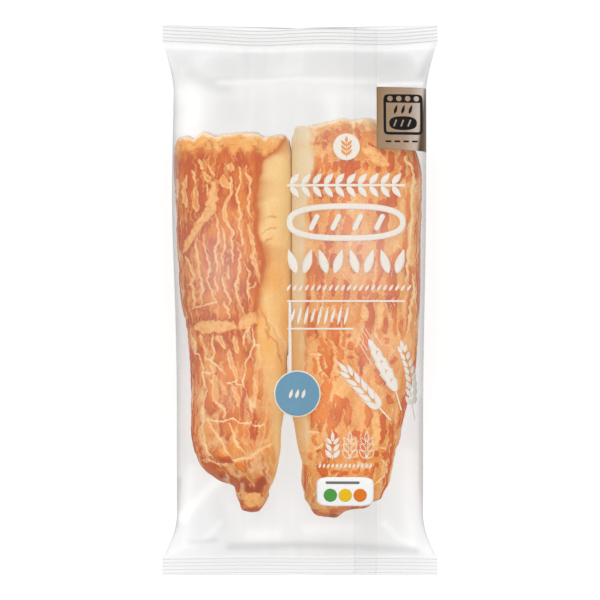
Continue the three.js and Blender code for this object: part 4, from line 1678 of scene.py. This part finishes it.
@dataclass
class FrontPrint:
    """The print on the film's front: fields of colour and simple bakery ornament, with no words.

    The ink stands off the film by a gap, as does one layer off the next. The large rows run from left
    to right.
    """

    film: FilmWrap
    thickness: float = 0.04
    gap: float = 0.05
    left: float = -7.4
    right: float = 59.6
    upper_rule: float = -0.6
    lower_rule: float = -16.2
    rule_width: float = 1.05

    def on_film(self, row: Array, angle: Array, layer: int, looped: bool = False) -> Surface:
        """Lay a grid of rows and angles on the film as a thin solid, layer by layer."""
        skin, out = self.film.skin(row, angle), self.film.normal(row, angle)
        low = skin + out * self.gap * layer
        return Surface.slab(low + out * self.thickness, low, looped)

    def stamp(self, plan: Array, layer: int = 1, looped: bool = False) -> Surface:
        """Lay a plan shape, as seen from above, on the film."""
        row, angle = self.film.locate(plan[..., 0], plan[..., 1])
        return self.on_film(row, angle, layer, looped)

    def grain(self, base: Pair, tip: Pair, width: float, layer: int = 1) -> Surface:
        """Lay a filled leaf or grain on the film."""
        return self.stamp(leaf(np.array(base), np.array(tip), width), layer)

    def stroke(self, start: Pair, end: Pair, width: float, layer: int = 1) -> Surface:
        """Lay a straight stroke on the film."""
        return self.stamp(bar(start, end, width), layer)

    def disc(self, x: float, y: float, radius: float, layer: int = 1, n: int = 25) -> Surface:
        """Lay a disc on the film."""
        return self.stamp(plate((x, y), (radius, radius), 2.0, n), layer)

    def piece(self, name: str, ink: Ink, parts: list[Surface], slot: str = "print") -> None:
        """Make one piece of several stamped shapes in one ink."""
        finish = bpy.data.materials.get(ink.value.name) or ink.value.material()
        made = Surface.joined(parts).piece(name, finish)
        made.visible_shadow = False

    def sprig(
        self, start: Pair, end: Pair, pairs: int, length: float, width: float, spread: float,
        stem: float, bare: float, line: float = 0.0, tail: float = 0.0, bend: float = 0.0,
    ) -> list[Surface]:
        """Draw a sprig with pairs of leaves and one at its tip.

        The leaves lean out by spread degrees, and below them a share of the stem is bare. They are
        filled, or drawn as a rim where line, its thickness, is over 0. Tail is the share of a leaf
        that is drawn out thin, and bend how far the sprig's middle bows to the left.
        """
        start, end = np.array(start, float), np.array(end, float)
        along = end - start
        reach = float(np.linalg.norm(along))
        along = along / reach
        aside = np.array([-along[1], along[0]])
        first, turn = bare * reach, math.radians(spread)
        parts = [self.stroke(start, start + along * (first + 0.3 * length), stem)]
        for share in np.arange(pairs) / (pairs - 1):
            bow = bend * 4.0 * share * (1.0 - share)
            foot = start + along * (first + (reach - first - 1.25 * length) * share) + aside * bow
            size = 1.0 - 0.2 * share
            for side in (-1.0, 1.0):
                way = along * math.cos(turn) + side * aside * math.sin(turn)
                base = foot + side * aside * 0.27 * width
                blade = leaf(base, base + way * length * size, width * size, line, tail)
                parts.append(self.stamp(blade, looped=line > 0))
        parts.append(self.stamp(leaf(end - along * length, end, 0.8 * width, line, tail), looped=line > 0))
        return parts

    def garland(self, y: float, height: float) -> list[Surface]:
        """Draw a level band of leaf pairs on a stem."""
        parts = [self.stroke((self.left, y), (self.right, y), 1.5)]
        for foot in np.arange(self.left + 2.0, self.right - 0.3 * height, height * 0.47):
            for side in (-1.0, 1.0):
                tip = (foot + 0.36 * height, y + side * 0.5 * height)
                parts.append(self.grain((foot, y + side * 0.7), tip, 0.27 * height))
        return parts

    def big_rows(self) -> None:
        """Draw the three large rows: a garland, a slashed loaf and a row of grains."""
        garland_y, oval_y, grains_y = 64.8, 43.9, 21.8
        parts = self.garland(garland_y, 13.6)
        x, y = 0.5 * (self.left + self.right), oval_y
        parts.append(self.stamp(hoop((x, y), (32.0, 9.0), 2.6, 3.4), looped=True))
        for x in np.linspace(self.left + 13.0, self.right - 17.0, 4):
            parts.append(self.stroke((x, y - 4.6), (x + 4.6, y + 4.6), 3.0))
        for k, x in enumerate(np.linspace(self.left + 3.0, self.right - 3.0, 8)):
            lean = 2.2 if k % 2 else -2.2
            parts.append(self.grain((x - lean, grains_y - 6.8), (x + lean, grains_y + 6.8), 5.2))
        self.piece("front_ornament", Ink.WHITE, parts)

    def fine_rows(self) -> None:
        """Draw the fine rows: a line of small grains, two rules with stripes between, and the drop line."""
        left, right = self.left, self.right
        seeds = np.arange(left + 1.0, right + 4.6, 3.4)
        parts = [self.grain((x - 1.0, 5.2), (x + 1.2, 8.8), 1.5) for x in seeds]
        for y, end in ((self.upper_rule, right), (self.lower_rule, 30.2)):
            parts.append(self.stroke((left, y), (end, y), self.rule_width))
        for k, x in enumerate(np.linspace(left + 2.2, 25.0, 9)):
            tall = 11.0 if k % 3 else 8.4
            foot = -8.6 - tall / 2.0
            parts.append(self.grain((x, foot), (x + 2.4, foot + tall), 1.7))
        parts.append(self.stroke((-5.7, -1.0), (-5.7, -40.5), 1.7))
        parts += [self.grain((x - 0.4, -94.9), (x + 0.5, -92.3), 1.3) for x in np.arange(11.2, 42.0, 2.4)]
        self.piece("front_rules", Ink.WHITE, parts)

    def ears(self) -> None:
        """Draw three ears of wheat that lean over the right loaf, and three small sprigs in a row."""
        parts = self.sprig((51.3, -68.0), (19.2, -32.6), 5, 11.6, 3.4, 19.0, 0.8, 0.2, tail=0.26)
        parts += self.sprig((64.9, -67.6), (57.0, -22.6), 8, 5.8, 2.7, 22.0, 0.6, 0.19, bend=-2.0)
        parts.append(self.stroke((57.3, -62.5), (53.6, -49.5), 0.7))
        t = np.linspace(0.0, 1.0, 61)
        foot, tip = np.array([54.4, -51.4]), np.array([38.8, -22.2])
        notched = 0.74 + 0.26 * np.mod(5.0 * t, 1.0)
        body = ribbon(foot + t[:, None] * (tip - foot), 4.1 * np.sin(np.pi * t**0.7) ** 0.5 * notched + 0.05)
        parts.append(self.stamp(body))
        marks = []
        for x, y in ((43.1, -28.9), (45.6, -34.3), (48.3, -39.5), (51.2, -44.6)):
            marks += [self.stroke((x, y), (x + reach, y - 1.9 + reach), 0.4, 3) for reach in (0.2, 1.5)]
        self.piece("ear_marks", Ink.GOLD, marks)
        awns = ((34.4, -15.6), (36.8, -16.0), (41.6, -18.0), (33.6, -21.0), (33.4, -24.6), (36.0, -29.0))
        parts += [self.stroke((x + 4.6, y - 7.6), (x, y), 0.35) for x, y in awns]
        for x, line in ((18.4, 0.0), (28.2, 0.4), (37.7, 0.4)):
            parts += self.sprig((x, -90.2), (x, -74.2), 3, 5.8, 2.7, 36.0, 0.6, 0.06, line)
        self.piece("wheat_ears", Ink.EAR, parts)

    def badge(self) -> None:
        """Draw a round white badge with a golden sprig."""
        x, y = 26.2, 80.6
        self.piece("badge_disc", Ink.WHITE, [self.disc(x, 86.4, 7.6)])
        parts = []
        for k in range(3):
            for side in (-1.0, 1.0):
                foot, low = x + side * 0.3, y + 1.2 + 2.6 * k
                parts.append(self.grain((foot, low), (foot + side * 2.9, low + 3.2), 1.6, 3))
        parts.append(self.stroke((x, y), (x, y + 9.0), 0.5, 3))
        parts.append(self.grain((x, y + 8.4), (x, y + 11.8), 1.7, 3))
        self.piece("badge_sprig", Ink.GOLD, parts)

    def blue_disc(self) -> None:
        """Draw the blue disc with its off-white ring and pale grains."""
        x, y = -1.5, -53.0
        self.piece("blue_disc_ring", Ink.WHITE, [self.disc(x, y, 13.2, 1, 33)])
        self.piece("blue_disc", Ink.BLUE, [self.disc(x, y, 12.5, 3, 33)])
        feet = [x + 3.6 * k - 0.8 for k in (-1.0, 0.0, 1.0)]
        parts = [self.grain((foot, y - 2.6), (foot + 1.6, y + 2.6), 2.0, 5) for foot in feet]
        self.piece("blue_disc_grains", Ink.WHITE, parts)

    def panel(self) -> None:
        """Draw the white rounded panel with a grey line and three small discs."""
        self.piece("panel", Ink.PLAIN, [self.stamp(plate((25.5, -108.4), (16.1, 8.3), 6.0))])
        self.piece("panel_line", Ink.GREY, [self.stroke((14.4, -103.2), (33.8, -103.2), 1.5, 3)])
        for x, ink in ((17.2, Ink.GREEN), (25.6, Ink.YELLOW), (34.0, Ink.ORANGE)):
            self.piece("panel_" + ink.name.lower(), ink, [self.disc(x, -110.4, 3.8, 3, 17)])

    def label(self) -> None:
        """Draw the bronze field at the upper right, which runs to the pouch's side, and its ornament."""
        line = np.linspace(0.0, 1.0, 40)
        across, up = np.meshgrid(line, line, indexing="ij")
        angle = mix(math.acos(43.3 / 71.8), -0.1, across)
        row = mix(mix(85.3, 83.5, across), mix(121.2, 120.0, across), up)
        self.piece("bronze_field", Ink.BRONZE, [self.on_film(row, angle, 1)], "label")
        parts = [self.stamp(hoop((58.3, 104.9), (10.4, 10.8), 14.0, 1.5), 3, looped=True)]
        parts.append(self.stamp(plate((58.3, 113.9), (10.6, 2.3), 9.0, 21), 3))
        parts.append(self.stamp(plate((58.2, 99.9), (7.8, 3.9), 2.6, 21), 3))
        parts += [self.grain((x - 0.7, 105.2), (x + 0.9, 110.4), 1.7, 3) for x in (54.0, 58.2, 62.4)]
        starts = [48.2 + 5.0 * k for k in range(4)]
        parts += [self.stroke((x, 89.6), (x + 3.4, 89.6), 1.0, 3) for x in starts]
        self.piece("label_ornament", Ink.DARK, parts, "label")
        slashes = [self.stroke((x - 0.7, 97.9), (x + 0.9, 101.9), 0.9, 5) for x in (53.6, 57.6, 61.6)]
        slashes += [self.disc(x, 113.9, 1.55, 5, 11) for x in (50.9, 55.9, 60.9, 65.8)]
        self.piece("label_slashes", Ink.BRONZE, slashes, "label")

    def build(self) -> None:
        """Build the whole print."""
        self.label()
        self.badge()
        self.big_rows()
        self.fine_rows()
        self.ears()
        self.blue_disc()
        self.panel()


@dataclass(frozen=True)
class SoftLight:
    """One studio softbox, pointed at the middle of the pouch and unseen by the camera.

    Its place and size are in metres and its power in watts. Shiny surfaces show it where mirrored.
    """

    name: str
    place: tuple[float, float, float]
    size: Pair
    power: float
    mirrored: bool = False

    def build(self) -> None:
        """Hang the light."""
        lamp = bpy.data.lights.new(self.name, "AREA")
        lamp.shape = "RECTANGLE"
        lamp.size, lamp.size_y = self.size
        lamp.energy = self.power
        made = placed(self.name, lamp)
        made.location = self.place
        made.rotation_euler = (-Vector(self.place)).to_track_quat("-Z", "Y").to_euler()
        made.visible_camera = False
        made.visible_glossy = self.mirrored


@dataclass
class Studio:
    """The floor, the lights and the camera, which looks straight down on the printed front."""

    view_width: float = 342.0
    view_height: float = 18.0
    lens: float = 300.0
    sensor: float = 36.0
    floor_size: float = 6.0
    floor_drop: float = 0.0006
    floor_glow: float = 0.76
    sky: float = 0.5
    lights: tuple[SoftLight, ...] = (
        SoftLight("key_softbox", (-0.85, 0.35, 1.45), (1.0, 1.0), 13.0),
        SoftLight("fill_softbox", (0.9, -0.3, 1.3), (1.0, 1.2), 11.0),
        SoftLight("top_softbox", (0.0, 0.9, 1.6), (1.4, 0.8), 6.5),
        SoftLight("far_strip", (0.0, 1.2, 0.55), (1.2, 0.3), 1.2, mirrored=True),
    )

    def build_floor(self) -> None:
        """Lay the floor just under the pouch: a white light table, on which no shadow shows."""
        g = NodeGraph("pale_floor")
        inputs = {"Base Color": (0.25, 0.25, 0.25, 1.0), "Roughness": 0.9, "Emission Color": WHITE}
        material = g.finish_solid({**inputs, "Emission Strength": self.floor_glow})
        half = self.floor_size / 2.0
        corners = [(-half, -half), (half, -half), (half, half), (-half, half)]
        mesh = bpy.data.meshes.new("floor")
        mesh.from_pydata([(x, y, -self.floor_drop) for x, y in corners], [], [(0, 1, 2, 3)])
        mesh.materials.append(material)
        floor = placed("floor", mesh)

    def build_sky(self) -> None:
        """Fill the room with even white light."""
        world = bpy.data.worlds.new("studio_white")
        world.use_nodes = True
        background = world.node_tree.nodes["Background"]
        background.inputs["Color"].default_value = WHITE
        background.inputs["Strength"].default_value = self.sky
        bpy.context.scene.world = world
        bpy.context.scene.view_settings.view_transform = "Standard"

    def build_camera(self) -> None:
        """Hang the camera over the pouch's middle, far enough off for the photograph's frame."""
        lens = bpy.data.cameras.new("overhead_camera")
        lens.lens, lens.sensor_width = self.lens, self.sensor
        lens.clip_start, lens.clip_end = 0.1, 20.0
        camera = placed("overhead_camera", lens)
        distance = self.view_width * METRES * self.lens / self.sensor
        camera.location = (0.0, 0.0, self.view_height * METRES + distance)
        camera.rotation_euler = (0.0, 0.0, 0.0)
        bpy.context.scene.camera = camera

    def build(self) -> None:
        """Set up the studio."""
        self.build_camera()
        self.build_floor()
        self.build_sky()
        for light in self.lights:
            light.build()


def main() -> None:
    """Build the studio and every piece of the pack, in order."""
    logging.basicConfig(level=logging.INFO, format="%(name)s: %(message)s")
    Studio().build()
    film = FilmWrap()
    left_loaf().build(film, CrustFinish("deep_tiger_crust"))
    right_loaf().build(film, golden_crust())
    film.build()
    film.build_fin()
    FrontPrint(film).build()


if __name__ == "__main__":
    main()
